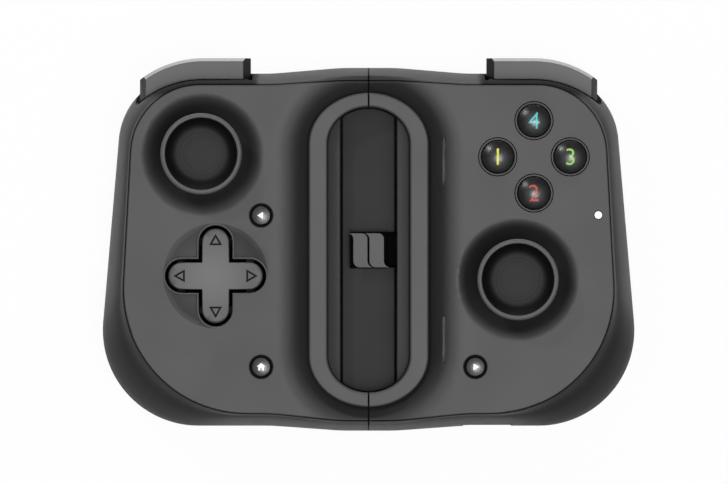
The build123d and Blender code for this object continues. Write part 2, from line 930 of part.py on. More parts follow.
for name, side in sides.items():
    seam = seam_gap / 2
    with BuildPart() as bezel:
        with BuildSketch(Plane.XY.offset(valley_z - face_skin)):
            add(
                oblong(
                    rim_half_width - fit_gap, rim_half_length - fit_gap, rim_arch - fit_gap
                )
            )
            add(rim_inner(), mode=Mode.SUBTRACT)
            keep_strip(side, seam, far_out)
        extrude(amount=rim_top_z - valley_z + face_skin)
        top_edges = bezel.faces().sort_by(Axis.Z)[-1].edges()
        fillet(top_edges.filter_by(lambda e: abs(e.center().X) > seam + touch), radius=rim_edge)
    keep(bezel, f"{name}_bezel")

    with BuildPart() as pad:
        with BuildSketch(Plane.XY.offset(pad_bottom_z)):
            add(rim_inner(fit_gap))
            keep_strip(side, pad_face, far_out)
        extrude(amount=pad_top_z - pad_bottom_z)
        slot_y = strap_half_width + run_gap
        slot_z = (strap_bottom_z - cover_gap, strap_top_z + cover_gap)
        span_box((0, far_out), (-slot_y, slot_y), slot_z, side, Mode.SUBTRACT)
        if name == "right":
            with BuildSketch(Plane.YZ):
                with Locations((rim_y, plug_z)):
                    SlotOverall(
                        plug_width + 2 * boot_margin + 2 * fit_gap,
                        plug_height + 2 * boot_margin + 2 * fit_gap,
                    )
            extrude(amount=far_out, mode=Mode.SUBTRACT)
    keep(pad, f"{name}_end_pad")

    outline = board_plan(side)
    keep_out = bay(side, bay_wall + 4 * fit_gap)
    places = [(side * out, y_screw) for out, y_screw in screw_places]
    with BuildPart() as board:
        with BuildSketch(Plane.XY.offset(board_z)):
            add(outline)
            with Locations(*places):
                Circle(screw_hole_radius, mode=Mode.SUBTRACT)
        extrude(amount=board_thickness)
        add(keep_out, mode=Mode.SUBTRACT)
    keep(board, f"{name}_board")

    with BuildPart() as mat:
        with BuildSketch(Plane.XY.offset(board_top_z)):
            add(mat_plan(name))
            if name == "left":
                with Locations(dpad_centre):
                    Circle(dpad_throat_radius, mode=Mode.SUBTRACT)
        extrude(amount=mat_top_z - board_top_z)
        with BuildSketch(Plane.XY.offset(mat_top_z)):
            with Locations(*mat_domes(name)):
                Circle(mat_dome_radius)
        extrude(amount=mat_dome_z - mat_top_z, taper=mat_dome_taper)
    keep(mat, f"{name}_key_mat")

    with BuildPart() as screws:
        for out, y_screw in screw_places:
            disc(side * out, y_screw, screw_radius, screw_seat_z, screw_end_z)
            head_z = screw_seat_z - screw_head_height
            disc(side * out, y_screw, screw_head_radius, head_z, screw_seat_z)
            cross_drive(side * out, y_screw, head_z, screw_head_height / 2)
    keep(screws, f"{name}_shell_screws")

    with BuildPart() as bar:
        span_box(
            (anchor_out, anchor_out + anchor_thickness),
            (-anchor_half_length, anchor_half_length),
            (anchor_bottom_z, anchor_top_z),
            side,
        )
    keep(bar, f"{name}_strap_anchor")

    with BuildPart() as strap:
        span_box(
            (strap_start, anchor_out),
            (-strap_half_width, strap_half_width),
            (strap_bottom_z, strap_top_z),
            side,
        )
    keep(strap, f"{name}_strap")


# Centre bridge: cover, pocket floor, screws, latches and the folded cable

cover_length = cover_top - cover_bottom
bridge_screw_places = [
    (x, y) for x in (-bridge_screw_x, bridge_screw_x) for y in (-bridge_screw_y, bridge_screw_y)
]

with BuildPart() as cover:
    with BuildSketch(Plane.XY.offset(cover_bottom_z)):
        with Locations((0, cover_middle)):
            RectangleRounded(2 * cover_half_width, cover_length, cover_radius)
    extrude(amount=cover_top_z - cover_bottom_z)
    chamfer(cover.faces().sort_by(Axis.Z)[0].edges(), length=cover_edge)
    for x, y in bridge_screw_places:
        disc(x, y, bridge_head_radius + cover_gap, 0, bridge_seat_z, Mode.SUBTRACT)
        disc(x, y, bridge_screw_radius + cover_gap, 0, far_up, Mode.SUBTRACT)
    for side in sides.values():
        reach = latch_stem_length / 2 + cover_gap
        span_box(
            (
                latch_out - latch_stem_width / 2 - cover_gap,
                latch_out + latch_stem_width / 2 + cover_gap,
            ),
            (latch_y - reach, latch_y + latch_travel + reach),
            (0, far_up),
            side,
            Mode.SUBTRACT,
        )
keep(cover, "bridge_cover")

with BuildPart() as frame:
    with BuildSketch(Plane.XY.offset(cover_top_z)):
        add(rim_inner(run_gap))
        Rectangle(2 * frame_half_width, 2 * far_y, mode=Mode.INTERSECT)
    extrude(amount=pocket_floor_z - cover_top_z)
    chamfer(frame.faces().sort_by(Axis.Z)[-1].edges().filter_by(Axis.Y), length=frame_edge)
    with BuildSketch(Plane.XY.offset(cover_top_z)):
        add(rim_inner(run_gap + frame_wall))
        Rectangle(2 * (frame_half_width - frame_wall), 2 * far_y, mode=Mode.INTERSECT)
    extrude(amount=pocket_floor_z - frame_skin - cover_top_z, mode=Mode.SUBTRACT)
    for x, y in bridge_screw_places:
        disc(x, y, bridge_boss_radius, cover_top_z, pocket_floor_z - frame_skin / 2)
        hole_end = bridge_screw_end_z + cover_gap
        disc(x, y, bridge_screw_radius + fit_gap, 0, hole_end, Mode.SUBTRACT)
    reach = strap_half_width + cover_gap
    span_box(
        (-frame_half_width, frame_half_width),
        (-reach, reach),
        (strap_bottom_z - fit_gap, strap_top_z + fit_gap),
        mode=Mode.SUBTRACT,
    )
    rib = strap_start - fit_gap
    rib_z = (strap_bottom_z - strap_rib_drop, pocket_floor_z - frame_skin / 2)
    span_box((-rib, rib), (-reach, reach), rib_z)
    with Locations((0, rim_y, pocket_floor_z)):
        Box(window_width, window_length, 2 * window_depth, mode=Mode.SUBTRACT)
keep(frame, "bridge_frame")

with BuildPart() as bridge_screws:
    for x, y in bridge_screw_places:
        disc(x, y, bridge_screw_radius, bridge_seat_z, bridge_screw_end_z)
        disc(x, y, bridge_head_radius, bridge_head_z, bridge_seat_z)
        cross_drive(x, y, bridge_head_z, (bridge_seat_z - bridge_head_z) / 2)
keep(bridge_screws, "bridge_screws")

folds = [
    (ribbon_pitch * (i - ribbon_folds / 2), ribbon_high_z if i % 2 else ribbon_low_z)
    for i in range(ribbon_folds + 1)
]
with BuildPart() as cable:
    with BuildSketch(Plane.XZ.offset(-rim_y - ribbon_width / 2)):
        with BuildLine():
            FilletPolyline(*folds, radius=ribbon_bend)
        trace(line_width=ribbon_thickness)
    extrude(amount=ribbon_width)
keep(cable, "flex_cable")

for name, side in sides.items():
    with BuildPart() as latch:
        middle = side * latch_out
        with BuildSketch(Plane.XY.offset(latch_pad_z)):
            with Locations((middle, latch_y)):
                RectangleRounded(latch_pad_width, latch_pad_length, latch_corner)
        extrude(amount=cover_bottom_z - cover_gap - latch_pad_z)
        chamfer(latch.faces().sort_by(Axis.Z)[0].edges(), length=latch_edge)
        with Locations((middle, latch_y, latch_pad_z)):
            with GridLocations(1, latch_groove_pitch, 1, latch_grooves):
                Box(latch_groove_length, latch_groove_width, latch_groove_width, mode=Mode.SUBTRACT)
        stem_height = latch_head_z - latch_pad_z - latch_groove_width
        with Locations((middle, latch_y, latch_head_z - stem_height / 2)):
            Box(latch_stem_width, latch_stem_length, stem_height)
        with Locations((middle, latch_y, (cover_top_z + cover_gap + latch_head_z) / 2)):
            Box(latch_head_width, latch_stem_length, latch_head_z - cover_top_z - cover_gap)
    keep(latch, f"{name}_latch")


# Shoulder keys and their pins


def trigger_profile(side):
    """Side view of the finger piece: a hollowed face that flares out at the tip."""
    with BuildSketch(Plane.YZ.offset(side * trigger_start)) as profile:
        with BuildLine():
            Polyline(
                (trigger_front_y, trigger_top_z),
                (trigger_finger_y, trigger_top_z),
                (trigger_finger_y, trigger_inner_z),
            )
            Spline(
                (trigger_finger_y, trigger_inner_z),
                (trigger_tip_y[0], trigger_tip_z),
                tangents=((0, -1), (0.6, -0.8)),
            )
            Line((trigger_tip_y[0], trigger_tip_z), (trigger_tip_y[1], trigger_tip_z))
            Spline(
                (trigger_tip_y[1], trigger_tip_z),
                trigger_flare,
                trigger_waist,
                (trigger_front_y, trigger_top_z),
                tangents=((1, 0.2), (0.25, 1)),
            )
        make_face()
    return profile.sketch


for name, side in sides.items():
    with BuildPart() as bumper:
        with BuildSketch(Plane.XY.offset(bumper_bottom_z)):
            add(shoulder_plan(side, bumper_start, bumper_end))
            add(bumper_inner(side), mode=Mode.SUBTRACT)
        extrude(amount=bumper_top_z - bumper_bottom_z)
        top_edges = bumper.faces().sort_by(Axis.Z)[-1].edges()
        outer_edges = top_edges.filter_by(
            lambda e: e.center().Y > bumper_inner_y + wall / 2
            and bumper_start + touch < abs(e.center().X) < bumper_end - touch
        )
        chamfer(outer_edges, length=bumper_bevel)
        with BuildSketch(Plane.XY.offset(bumper_bottom_z)):
            with Locations((side * bumper_pivot[0], bumper_pivot[1])):
                Circle(bumper_lug_radius)
            lug_reach = bumper_inner_y + bumper_bevel / 2 - bumper_pivot[1]
            with Locations((side * bumper_pivot[0], bumper_pivot[1] + lug_reach / 2)):
                Rectangle(2 * bumper_lug_radius, lug_reach)
        extrude(amount=bumper_top_z - bumper_bottom_z - bumper_lug_drop)
        hole = pin_radius + run_gap
        disc(side * bumper_pivot[0], bumper_pivot[1], hole, 0, far_up, Mode.SUBTRACT)
        ends = (
            (bumper_start, bumper_start + bumper_start_slope),
            (bumper_end, bumper_end - bumper_end_slope),
        )
        for end, slope_top in ends:
            with BuildSketch(upright(0, far_y)):
                with BuildLine():
                    Polyline(
                        (side * end, bumper_top_z),
                        (side * slope_top, bumper_top_z),
                        (side * end, bumper_top_z - bumper_slope_drop),
                        close=True,
                    )
                make_face()
            reach = far_y - (bumper_inner_y if end == bumper_start else bay_start_y)
            extrude(amount=reach, mode=Mode.SUBTRACT)
    keep(bumper, f"{name}_bumper")

    finger = trigger_profile(side)
    with BuildPart() as trigger:
        extrude(finger, amount=trigger_end - trigger_start, dir=(side, 0, 0))
        with BuildSketch(Plane.YZ.offset(side * trigger_hub[0])):
            with Locations((trigger_pivot_y, trigger_pivot_z)):
                Circle(trigger_hub_radius)
            arm_y = trigger_finger_y + trigger_arm[0]
            arm_z = trigger_pivot_z - trigger_arm[1]
            with Locations(((trigger_pivot_y + arm_y) / 2, (arm_z + trigger_top_z) / 2)):
                Rectangle(arm_y - trigger_pivot_y, trigger_top_z - arm_z)
        extrude(amount=side * (trigger_hub[1] - trigger_hub[0]))
        with BuildSketch(Plane.XY):
            add(shoulder_plan(side, trigger_start, trigger_end, trigger_inset))
        extrude(amount=far_up, mode=Mode.INTERSECT)
        with BuildSketch(Plane.YZ):
            with Locations((trigger_pivot_y, trigger_pivot_z)):
                Circle(pin_radius + run_gap)
        extrude(amount=side * far_out, mode=Mode.SUBTRACT)
    keep(trigger, f"{name}_trigger")

    with BuildPart() as pins:
        pin_z = (bumper_bottom_z - web_thickness, bumper_top_z + pin_cap)
        disc(side * bumper_pivot[0], bumper_pivot[1], pin_radius, *pin_z)
        pin_start = trigger_lug[0] - trigger_lug_width / 2
        with BuildSketch(Plane.YZ.offset(side * pin_start)):
            with Locations((trigger_pivot_y, trigger_pivot_z)):
                Circle(pin_radius)
        extrude(amount=side * (trigger_lug[1] - trigger_lug[0] + trigger_lug_width))
    keep(pins, f"{name}_pivot_pins")


# Thumb sticks


def cap_section():
    """Half section of the cap, its neck and the dome that closes the bowl's hole."""
    reach = radians(dome_reach)
    inner = dome_radius - dome_thickness
    outer_lip = (dome_radius * sin(reach), stick_pivot_z + dome_radius * cos(reach))
    inner_lip = (inner * sin(reach), stick_pivot_z + inner * cos(reach))
    half = reach / 2
    bore = stick_shaft_radius + fit_gap
    dome_at_neck = stick_pivot_z + (dome_radius**2 - stick_neck_radius**2) ** 0.5
    dome_at_bore = stick_pivot_z + (inner**2 - bore**2) ** 0.5
    shaft_top = stick_pivot_z + stick_shaft_above + fit_gap
    dish_z = stick_top_z - stick_disc_drop
    rim_start = (stick_radius - stick_rim, stick_top_z - stick_rim_drop)
    with BuildSketch() as section:
        with BuildLine():
            ThreePointArc(
                (stick_neck_radius, dome_at_neck),
                (dome_radius * sin(half + 0.2), stick_pivot_z + dome_radius * cos(half + 0.2)),
                outer_lip,
            )
            Line(outer_lip, inner_lip)
            ThreePointArc(
                inner_lip,
                (inner * sin(half), stick_pivot_z + inner * cos(half)),
                (bore, dome_at_bore),
            )
            Polyline(
                (bore, dome_at_bore),
                (bore, shaft_top),
                (0, shaft_top),
                (0, dish_z + stick_disc_step),
                (stick_disc_radius - stick_disc_step, dish_z + stick_disc_step),
                (stick_disc_radius, dish_z),
            )
            Spline(
                (stick_disc_radius, dish_z),
                rim_start,
                tangents=((1, 0), (0.25, 1)),
            )
            Spline(
                rim_start,
                (stick_radius - stick_rim / 2, stick_top_z),
                (stick_radius, stick_top_z - stick_edge),
                tangents=((0.8, 0.6), (0, -1)),
            )
            Polyline(
                (stick_radius, stick_top_z - stick_edge),
                (stick_radius, stick_under_z + stick_skirt[2]),
                (stick_radius - stick_skirt[0], stick_under_z + stick_skirt[1]),
                (stick_neck_radius + stick_neck_flare, stick_under_z),
                (stick_neck_radius, stick_under_z - stick_neck_flare),
                (stick_neck_radius, dome_at_neck),
            )
        make_face()
    return section.sketch


for name, side in sides.items():
    x, y = sticks[name]
    centre = (x, y, stick_pivot_z)
    saddle = 2 * (trunnion_radius + run_gap)
    with BuildPart() as cap:
        with BuildSketch(upright(x, y)):
            add(cap_section())
        revolve(axis=Axis((x, y, 0), (0, 0, 1)))
    keep(cap, f"{name}_stick_cap")

    shaft_z = (stick_pivot_z - stick_shaft_below, stick_pivot_z + stick_shaft_above)
    with BuildPart() as shaft:
        disc(x, y, stick_shaft_radius, *shaft_z)
        fillet(shaft.edges().sort_by(Axis.Z)[0], radius=stick_shaft_round)
    keep(shaft, f"{name}_stick_shaft")

    with BuildPart() as rocker:
        with Locations(centre):
            Box(rocker_size, rocker_size, rocker_height)
            Cylinder(trunnion_radius, yoke_size - 2 * trunnion_gap, rotation=(90, 0, 0))
            Cylinder(stick_shaft_radius + run_gap, rocker_size, mode=Mode.SUBTRACT)
    keep(rocker, f"{name}_stick_rocker")

    with BuildPart() as yoke:
        with Locations(centre):
            Cylinder(trunnion_radius, stick_box - trunnion_gap, rotation=(0, 90, 0))
            Box(yoke_size, yoke_size, yoke_height)
            Box(yoke_hole, yoke_hole, yoke_height, mode=Mode.SUBTRACT)
            Cylinder(saddle / 2, stick_box, rotation=(90, 0, 0), mode=Mode.SUBTRACT)
    keep(yoke, f"{name}_stick_yoke")

    box_z = (board_top_z, stick_pivot_z + stick_box_rise)
    box_floor = board_top_z + stick_box_floor
    inner = stick_box - 2 * stick_box_wall
    with BuildPart() as housing:
        with Locations((x, y, sum(box_z) / 2)):
            Box(stick_box, stick_box, box_z[1] - box_z[0])
        with Locations((x, y, box_floor + inner / 2)):
            Box(inner, inner, inner, mode=Mode.SUBTRACT)
        with Locations(centre):
            Cylinder(saddle / 2, 2 * stick_box, rotation=(0, 90, 0), mode=Mode.SUBTRACT)
        with Locations((x, y, stick_pivot_z + stick_box / 2)):
            Box(2 * stick_box, saddle, stick_box, mode=Mode.SUBTRACT)
    keep(housing, f"{name}_stick_housing")

    with BuildPart() as switch:
        disc(x, y, switch_radius, box_floor, box_floor + switch_height)
    keep(switch, f"{name}_stick_switch")


# Direction pad

foot_reach = dpad_foot_place + sqrt(2) * dpad_foot_radius
dpad_foot_z = mat_dome_z + foot_reach * sin(radians(dpad_tilt)) + cover_gap
flange_z = dpad_bottom_z + dpad_flange

with BuildPart() as dpad:
    with BuildSketch(Plane.XY.offset(dpad_bottom_z)):
        with Locations(dpad_centre):
            add(cross())
    extrude(amount=face_z + dpad_rise - dpad_bottom_z)
    fillet(dpad.faces().sort_by(Axis.Z)[-1].edges(), radius=dpad_edge)
    hollow_radius = ((dpad_span / 2) ** 2 + dpad_hollow**2) / (2 * dpad_hollow)
    with Locations((*dpad_centre, face_z + dpad_rise + hollow_radius - dpad_hollow)):
        Sphere(hollow_radius, mode=Mode.SUBTRACT)
    disc(*dpad_centre, dpad_flange_radius, dpad_bottom_z, flange_z)
    for turn in range(4):
        angle = radians(90 * turn)
        place = (dpad_centre[0] + dpad_foot_place * cos(angle),
                 dpad_centre[1] + dpad_foot_place * sin(angle))
        disc(*place, dpad_foot_radius, dpad_foot_z, flange_z)
    with Locations((*dpad_centre, dpad_pivot_z)):
        Sphere(dpad_ball_radius + run_gap, mode=Mode.SUBTRACT)
    disc(*dpad_centre, dpad_throat_radius, board_top_z, dpad_pivot_z - dpad_flange, Mode.SUBTRACT)
keep(dpad, "dpad")

with BuildPart() as dpad_ball:
    with Locations((*dpad_centre, dpad_pivot_z)):
        Sphere(dpad_ball_radius)
keep(dpad_ball, "dpad_pivot")

with BuildPart() as dpad_post:
    post_top = dpad_pivot_z - dpad_ball_radius - cover_gap
    disc(*dpad_centre, dpad_post_radius, board_top_z, post_top)
keep(dpad_post, "dpad_post")


# Push buttons


def push_button(x, y, radius, side_height, rise, flange_radius):
    with BuildPart() as button:
        dome = rise - side_height
        sphere = (radius**2 + dome**2) / (2 * dome)
        disc(x, y, radius, flange_top_z - flange_height / 2, face_z + rise)
        with BuildSketch(upright(x, y)):
            with BuildLine():
                Polyline(
                    (radius + 1, face_z + side_height),
                    (radius + 1, face_z + rise + 1),
                    (0, face_z + rise + 1),
                    (0, face_z + rise),
                )
                ThreePointArc(
                    (0, face_z + rise),
                    (
                        sphere * sin(radius / sphere / 2),
                        face_z + rise - sphere * (1 - cos(radius / sphere / 2)),
                    ),
                    (radius, face_z + side_height),
                )
                Line((radius, face_z + side_height), (radius + 1, face_z + side_height))
            make_face()
        revolve(axis=Axis((x, y, 0), (0, 0, 1)), mode=Mode.SUBTRACT)
        disc(x, y, flange_radius, flange_top_z - flange_height, flange_top_z)
        disc(x, y, button_stem_radius, button_end_z, flange_top_z)
    return button


for button_name, (x, y) in face_buttons.items():
    button = push_button(
        x, y, face_button_radius, face_button_side, face_button_rise, face_button_flange
    )
    keep(button, button_name)

for name in sides:
    for button_name, (x, y) in small_buttons[name].items():
        button = push_button(
            x, y, small_button_radius, small_button_side, small_button_rise,
            small_button_flange,
        )
        keep(button, button_name)

with BuildPart() as light:
    disc(*light_place, light_radius, board_top_z, face_z + light_rise)
    disc(*light_place, light_radius + light_foot, board_top_z, light_foot_z)
keep(light, "status_light")


# Plug for the phone, and the charging port


def slot_prism(plane, width, height, length, mode=Mode.ADD):
    with BuildSketch(plane) as section:
        SlotOverall(width, height)
    extrude(section.sketch, amount=length, mode=mode)


tip_x = pad_face - boot_reach
plug_end = Plane(origin=(tip_x - plug_reach, rim_y, plug_z), x_dir=(0, 1, 0), z_dir=(1, 0, 0))
boot_face = Plane(origin=(tip_x, rim_y, plug_z), x_dir=(0, 1, 0), z_dir=(1, 0, 0))
boot_back = rim_half_width - rim_width - fit_gap
boot_width = plug_width + 2 * boot_margin
boot_height = plug_height + 2 * boot_margin

with BuildPart() as plug:
    slot_prism(plug_end, plug_width, plug_height, plug_reach + plug_root - tip_x)
    slot_prism(
        plug_end,
        plug_width - 2 * plug_wall,
        plug_height - 2 * plug_wall,
        plug_reach - socket_floor,
        Mode.SUBTRACT,
    )
keep(plug, "plug_shell")

with BuildPart() as boot:
    slot_prism(boot_face, boot_width, boot_height, boot_back - tip_x)
    chamfer(boot.faces().sort_by(Axis.X)[0].edges(), length=boot_edge)
    slot_prism(boot_face, plug_width, plug_height, plug_root - tip_x, Mode.SUBTRACT)
keep(boot, "plug_boot")

port_front = Plane(
    origin=(port_out, port_face_y, port_z), x_dir=(1, 0, 0), z_dir=(0, 1, 0)
)
with BuildPart() as port:
    slot_prism(port_front, port_width, port_height, port_depth)
    slot_prism(
        port_front,
        port_width - 2 * port_wall,
        port_height - 2 * port_wall,
        port_depth - socket_floor,
        Mode.SUBTRACT,
    )
    with Locations((port_out, port_face_y + (port_depth + socket_floor) / 2, port_z)):
        Box(port_tongue[0], port_depth - socket_floor, port_tongue[1])
keep(port, "charge_port")
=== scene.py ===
import math

import bmesh
import bpy
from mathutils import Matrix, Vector
from mathutils.bvhtree import BVHTree


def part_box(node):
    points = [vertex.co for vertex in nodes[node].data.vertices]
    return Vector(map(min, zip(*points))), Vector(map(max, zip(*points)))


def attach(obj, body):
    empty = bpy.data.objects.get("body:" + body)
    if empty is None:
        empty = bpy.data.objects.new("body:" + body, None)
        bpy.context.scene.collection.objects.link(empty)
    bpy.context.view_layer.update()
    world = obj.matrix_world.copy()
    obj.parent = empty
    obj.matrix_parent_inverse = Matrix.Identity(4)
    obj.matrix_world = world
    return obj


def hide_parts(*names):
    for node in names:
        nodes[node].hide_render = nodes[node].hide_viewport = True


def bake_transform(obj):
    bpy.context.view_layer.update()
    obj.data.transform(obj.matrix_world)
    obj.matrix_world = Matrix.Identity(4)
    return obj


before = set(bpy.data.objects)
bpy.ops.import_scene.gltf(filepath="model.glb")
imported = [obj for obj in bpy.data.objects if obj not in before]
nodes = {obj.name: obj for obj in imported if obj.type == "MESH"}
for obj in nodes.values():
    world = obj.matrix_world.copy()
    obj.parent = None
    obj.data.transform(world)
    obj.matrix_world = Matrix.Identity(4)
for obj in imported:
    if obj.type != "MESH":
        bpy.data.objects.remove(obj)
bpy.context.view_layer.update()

# A closed gamepad lying on its back, seen straight from above. Lengths are in metres, where no note
# says millimetres.
mm = 0.001
print("frame loaded:", len(nodes), "nodes")


def hexToLinear(code):
    # sRGB hex to the linear colour that the shaders want
    parts = [int(code[i:i + 2], 16) / 255 for i in (0, 2, 4)]
    return [c / 12.92 if c <= 0.04045 else ((c + 0.055) / 1.055) ** 2.4 for c in parts] + [1.0]


def setInputs(tree, node, inputs):
    # a socket or a node's first output is linked, a hex colour is turned to linear and set, and any
    # other value is set as it is
    for key, value in inputs.items():
        if isinstance(value, bpy.types.Node):
            value = value.outputs[0]
        if isinstance(value, bpy.types.NodeSocket):
            tree.links.new(value, node.inputs[key])
        else:
            linear = hexToLinear(value) if isinstance(value, str) else value
            node.inputs[key].default_value = linear


def addNode(tree, kind, inputs, **settings):
    # one shader node with its settings and its inputs
    node = tree.nodes.new("ShaderNode" + kind)
    for key, value in settings.items():
        setattr(node, key, value)
    setInputs(tree, node, inputs)
    return node


def newMaterial(name, pattern="Object"):
    # place is what the material's pattern follows
    material = bpy.data.materials.new(name)
    material.use_nodes = True
    tree = material.node_tree
    place = addNode(tree, "TexCoord", {}).outputs[pattern]
    return material, tree, tree.nodes["Principled BSDF"], place


def middleOf(name):
    low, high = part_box(name)
    return (low + high) / 2


# A bevel's facets are found by their normals: the height lies between steep and flat, and the lean
# to the fingers, or to an end, is more than the other two.
facetLimits = {"flat": 0.93, "steep": 0.4, "paintedHighlight": 0.3, "end": 0.66}


# ABS, injection moulded in a spark-eroded mould: a fine even grain that kills the gloss, its edges
# given their own colour (rubbing wear with a painted highlight, on the shoulder keys a painted
# shade line), and painted shade darkening the recesses.
def mouldedPlastic(name, look):
    material, tree, shader, place = newMaterial(name)
    grain = addNode(tree, "TexNoise", {"Vector": place, "Scale": 1 / look["grain"], "Detail": 2.0})
    cloud = addNode(tree, "TexNoise", {"Vector": place, "Scale": 1 / look["cloud"], "Detail": 3.0})
    base = addNode(tree, "Mix", {0: cloud, 6: look["base"], 7: look["patch"]}, data_type="RGBA")
    # recesses: painted shade where the ambient occlusion finds them, and no edge colour there
    shade = addNode(tree, "AmbientOcclusion", {"Distance": look["recessReach"]}, samples=6)
    opened = addNode(tree, "MapRange", {"Value": shade.outputs["AO"],
                                        "From Min": look["recessFull"],
                                        "From Max": look["recessStart"]})
    colour = addNode(tree, "Mix", {0: opened, 6: look["recess"], 7: base.outputs[2]},
                     data_type="RGBA")
    # edges: the bevelled normal turns away from the face's own, and that finds them
    soft = addNode(tree, "Bevel", {"Radius": look["edgeWidth"]}, samples=4)
    own = addNode(tree, "NewGeometry", {})
    same = addNode(tree, "VectorMath", {0: soft, 1: own.outputs["Normal"]}, operation="DOT_PRODUCT")
    # edge colour: rubbing wear with a painted highlight where it is lighter, a painted shade line
    # where it is darker
    edgeWearAndLightMask = addNode(tree, "MapRange", {"Value": same.outputs["Value"], "From Min": look["edgeMaskFrom"],
                                      "From Max": look["edgeMaskTo"], "To Max": look["edgeWearAndLight"]})
    openEdgeWearAndLightMask = addNode(tree, "Math", {0: edgeWearAndLightMask, 1: opened}, operation="MULTIPLY")
    finish = addNode(tree, "Mix", {0: openEdgeWearAndLightMask, 6: colour.outputs[2], 7: look["edge"]},
                     data_type="RGBA").outputs[2]
    rough = addNode(tree, "MapRange", {"Value": cloud, "From Min": look["cloudLow"],
                                       "From Max": look["cloudHigh"],
                                       "To Min": look["rough"] - look["roughSpread"],
                                       "To Max": look["rough"] + look["roughSpread"]})
    spot = addNode(tree, "SeparateXYZ", {0: place})
    # each layer is a mask and the colour that it lets in over the layers before it
    layers = []
    if "facets" in look:
        # painted light: bevel facets found by their normals get a painted highlight and painted
        # shade
        turn = addNode(tree, "SeparateXYZ", {0: own.outputs["True Normal"]})
        up = addNode(tree, "Math", {0: turn.outputs["Z"], 1: facetLimits["flat"]},
                     operation="LESS_THAN")
        tilted = addNode(tree, "Math", {0: turn.outputs["Z"], 1: facetLimits["steep"]},
                         operation="GREATER_THAN")
        slanted = addNode(tree, "Math", {0: up, 1: tilted}, operation="MULTIPLY")
        side = addNode(tree, "Math", {0: turn.outputs["X"]}, operation="ABSOLUTE")
        for part, kind in ((turn.outputs["Y"], "paintedHighlight"), (side, "end")):
            faces = addNode(tree, "Math", {0: part, 1: facetLimits[kind]}, operation="GREATER_THAN")
            where = addNode(tree, "Math", {0: faces, 1: slanted}, operation="MULTIPLY")
            layers.append((where, look["facets"][kind]))
    if "depth" in look:
        depth = look["depth"]
        low = addNode(tree, "MapRange", {"Value": spot.outputs["Z"], "From Min": depth["from"],
                                         "From Max": depth["to"]}, interpolation_type="SMOOTHSTEP")
        layers.append((low, depth["tone"]))
    if "dish" in look:
        dish = look["dish"]
        away = addNode(tree, "VectorMath", {0: place, 1: dish["place"]}, operation="DISTANCE")
        inside = addNode(tree, "Math", {0: away.outputs["Value"], 1: dish["radius"]},
                         operation="LESS_THAN")
        sunk = addNode(tree, "Math", {0: spot.outputs["Z"], 1: dish["below"]},
                       operation="LESS_THAN")
        both = addNode(tree, "Math", {0: inside, 1: sunk}, operation="MULTIPLY")
        shaded = addNode(tree, "MapRange", {"Value": away.outputs["Value"],
                                            "From Min": dish["inner"], "From Max": dish["radius"]})
        tone = addNode(tree, "Mix", {0: shaded, 6: dish["middle"], 7: dish["edge"]},
                       data_type="RGBA")
        layers.append((both, tone.outputs[2]))
    if "zones" in look:
        out = addNode(tree, "Math", {0: spot.outputs["X"]}, operation="ABSOLUTE")
        for zone in look["zones"]:
            ranges = []
            for value, (begin, full) in ((out, zone["out"]), (spot.outputs["Y"], zone["y"])):
                ranges.append(addNode(tree, "MapRange", {"Value": value, "From Min": begin,
                                                         "From Max": full},
                                      interpolation_type="SMOOTHSTEP"))
            within = addNode(tree, "Math", {0: ranges[0], 1: ranges[1]}, operation="MULTIPLY")
            layers.append((within, zone["tone"]))
            rough = addNode(tree, "Mix", {0: within, 2: rough, 3: zone["rough"]})
    if "lighterMiddle" in look:
        lighterMiddle = look["lighterMiddle"]
        away = addNode(tree, "VectorMath", {0: place, 1: lighterMiddle["place"]}, operation="DISTANCE")
        near = addNode(tree, "MapRange", {"Value": away.outputs["Value"],
                                          "From Min": lighterMiddle["inner"], "From Max": lighterMiddle["outer"],
                                          "To Min": 1.0, "To Max": 0.0},
                       interpolation_type="SMOOTHSTEP")
        layers.append((near, lighterMiddle["tone"]))
    for mask, tone in layers:
        finish = addNode(tree, "Mix", {0: mask, 6: finish, 7: tone}, data_type="RGBA").outputs[2]
    bump = addNode(tree, "Bump", {"Height": grain, "Distance": look["grainDepth"], "Strength": 0.6,
                                  "Normal": soft})
    setInputs(tree, shader, {"Base Color": finish, "Roughness": rough, "IOR": look["ior"],
                             "Specular IOR Level": look["shine"], "Normal": bump})
    return material


plasticLook = {
    "base": "3a3a3a", "patch": "3e3e3e", "recess": "181818", "edge": "4c4c4c",
    "rough": 0.54, "roughSpread": 0.02, "ior": 1.5, "shine": 0.5,
    "grain": 0.3 * mm,  # the mould's grain of 0.05 mm is too fine to show, so this is coarser
    "grainDepth": 0.006 * mm, "cloud": 18 * mm, "cloudLow": 0.3, "cloudHigh": 0.7,
    "recessReach": 9 * mm, "recessFull": 0.35, "recessStart": 0.95,
    "edgeWidth": 0.25 * mm, "edgeWearAndLight": 0.5, "edgeMaskFrom": 0.995, "edgeMaskTo": 0.88,
}
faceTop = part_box("left_faceplate")[1].z
padMiddle = middleOf("dpad")
# painted shade: the hollows below the flat face and the dish round the pad are painted darker, the
# right side's hollows darker than the left's
faceLooks = {
    "left": {**plasticLook, "recess": "0c0c0c", "recessFull": 0.55, "recessStart": 0.98,
             "depth": {"from": faceTop, "to": faceTop - 2.2 * mm, "tone": "1c1c1c"},
             "dish": {"place": (*padMiddle[:2], faceTop), "radius": 13.8 * mm, "inner": 6 * mm,
                      "below": faceTop - 0.02 * mm, "middle": "2a2a2a", "edge": "181818"}},
    "right": {**plasticLook, "recess": "0a0a0a", "recessFull": 0.58, "recessStart": 0.99,
              "depth": {"from": faceTop, "to": faceTop - 1.6 * mm, "tone": "1a1a1a"}}}
faceFinishes = {side: mouldedPlastic("faceplate ABS spark eroded " + side, look)
                for side, look in faceLooks.items()}
shellLook = {**plasticLook, "base": "343434", "patch": "393939", "edge": "484848", "rough": 0.56}
shellFinish = mouldedPlastic("bridge cover ABS spark eroded", shellLook)
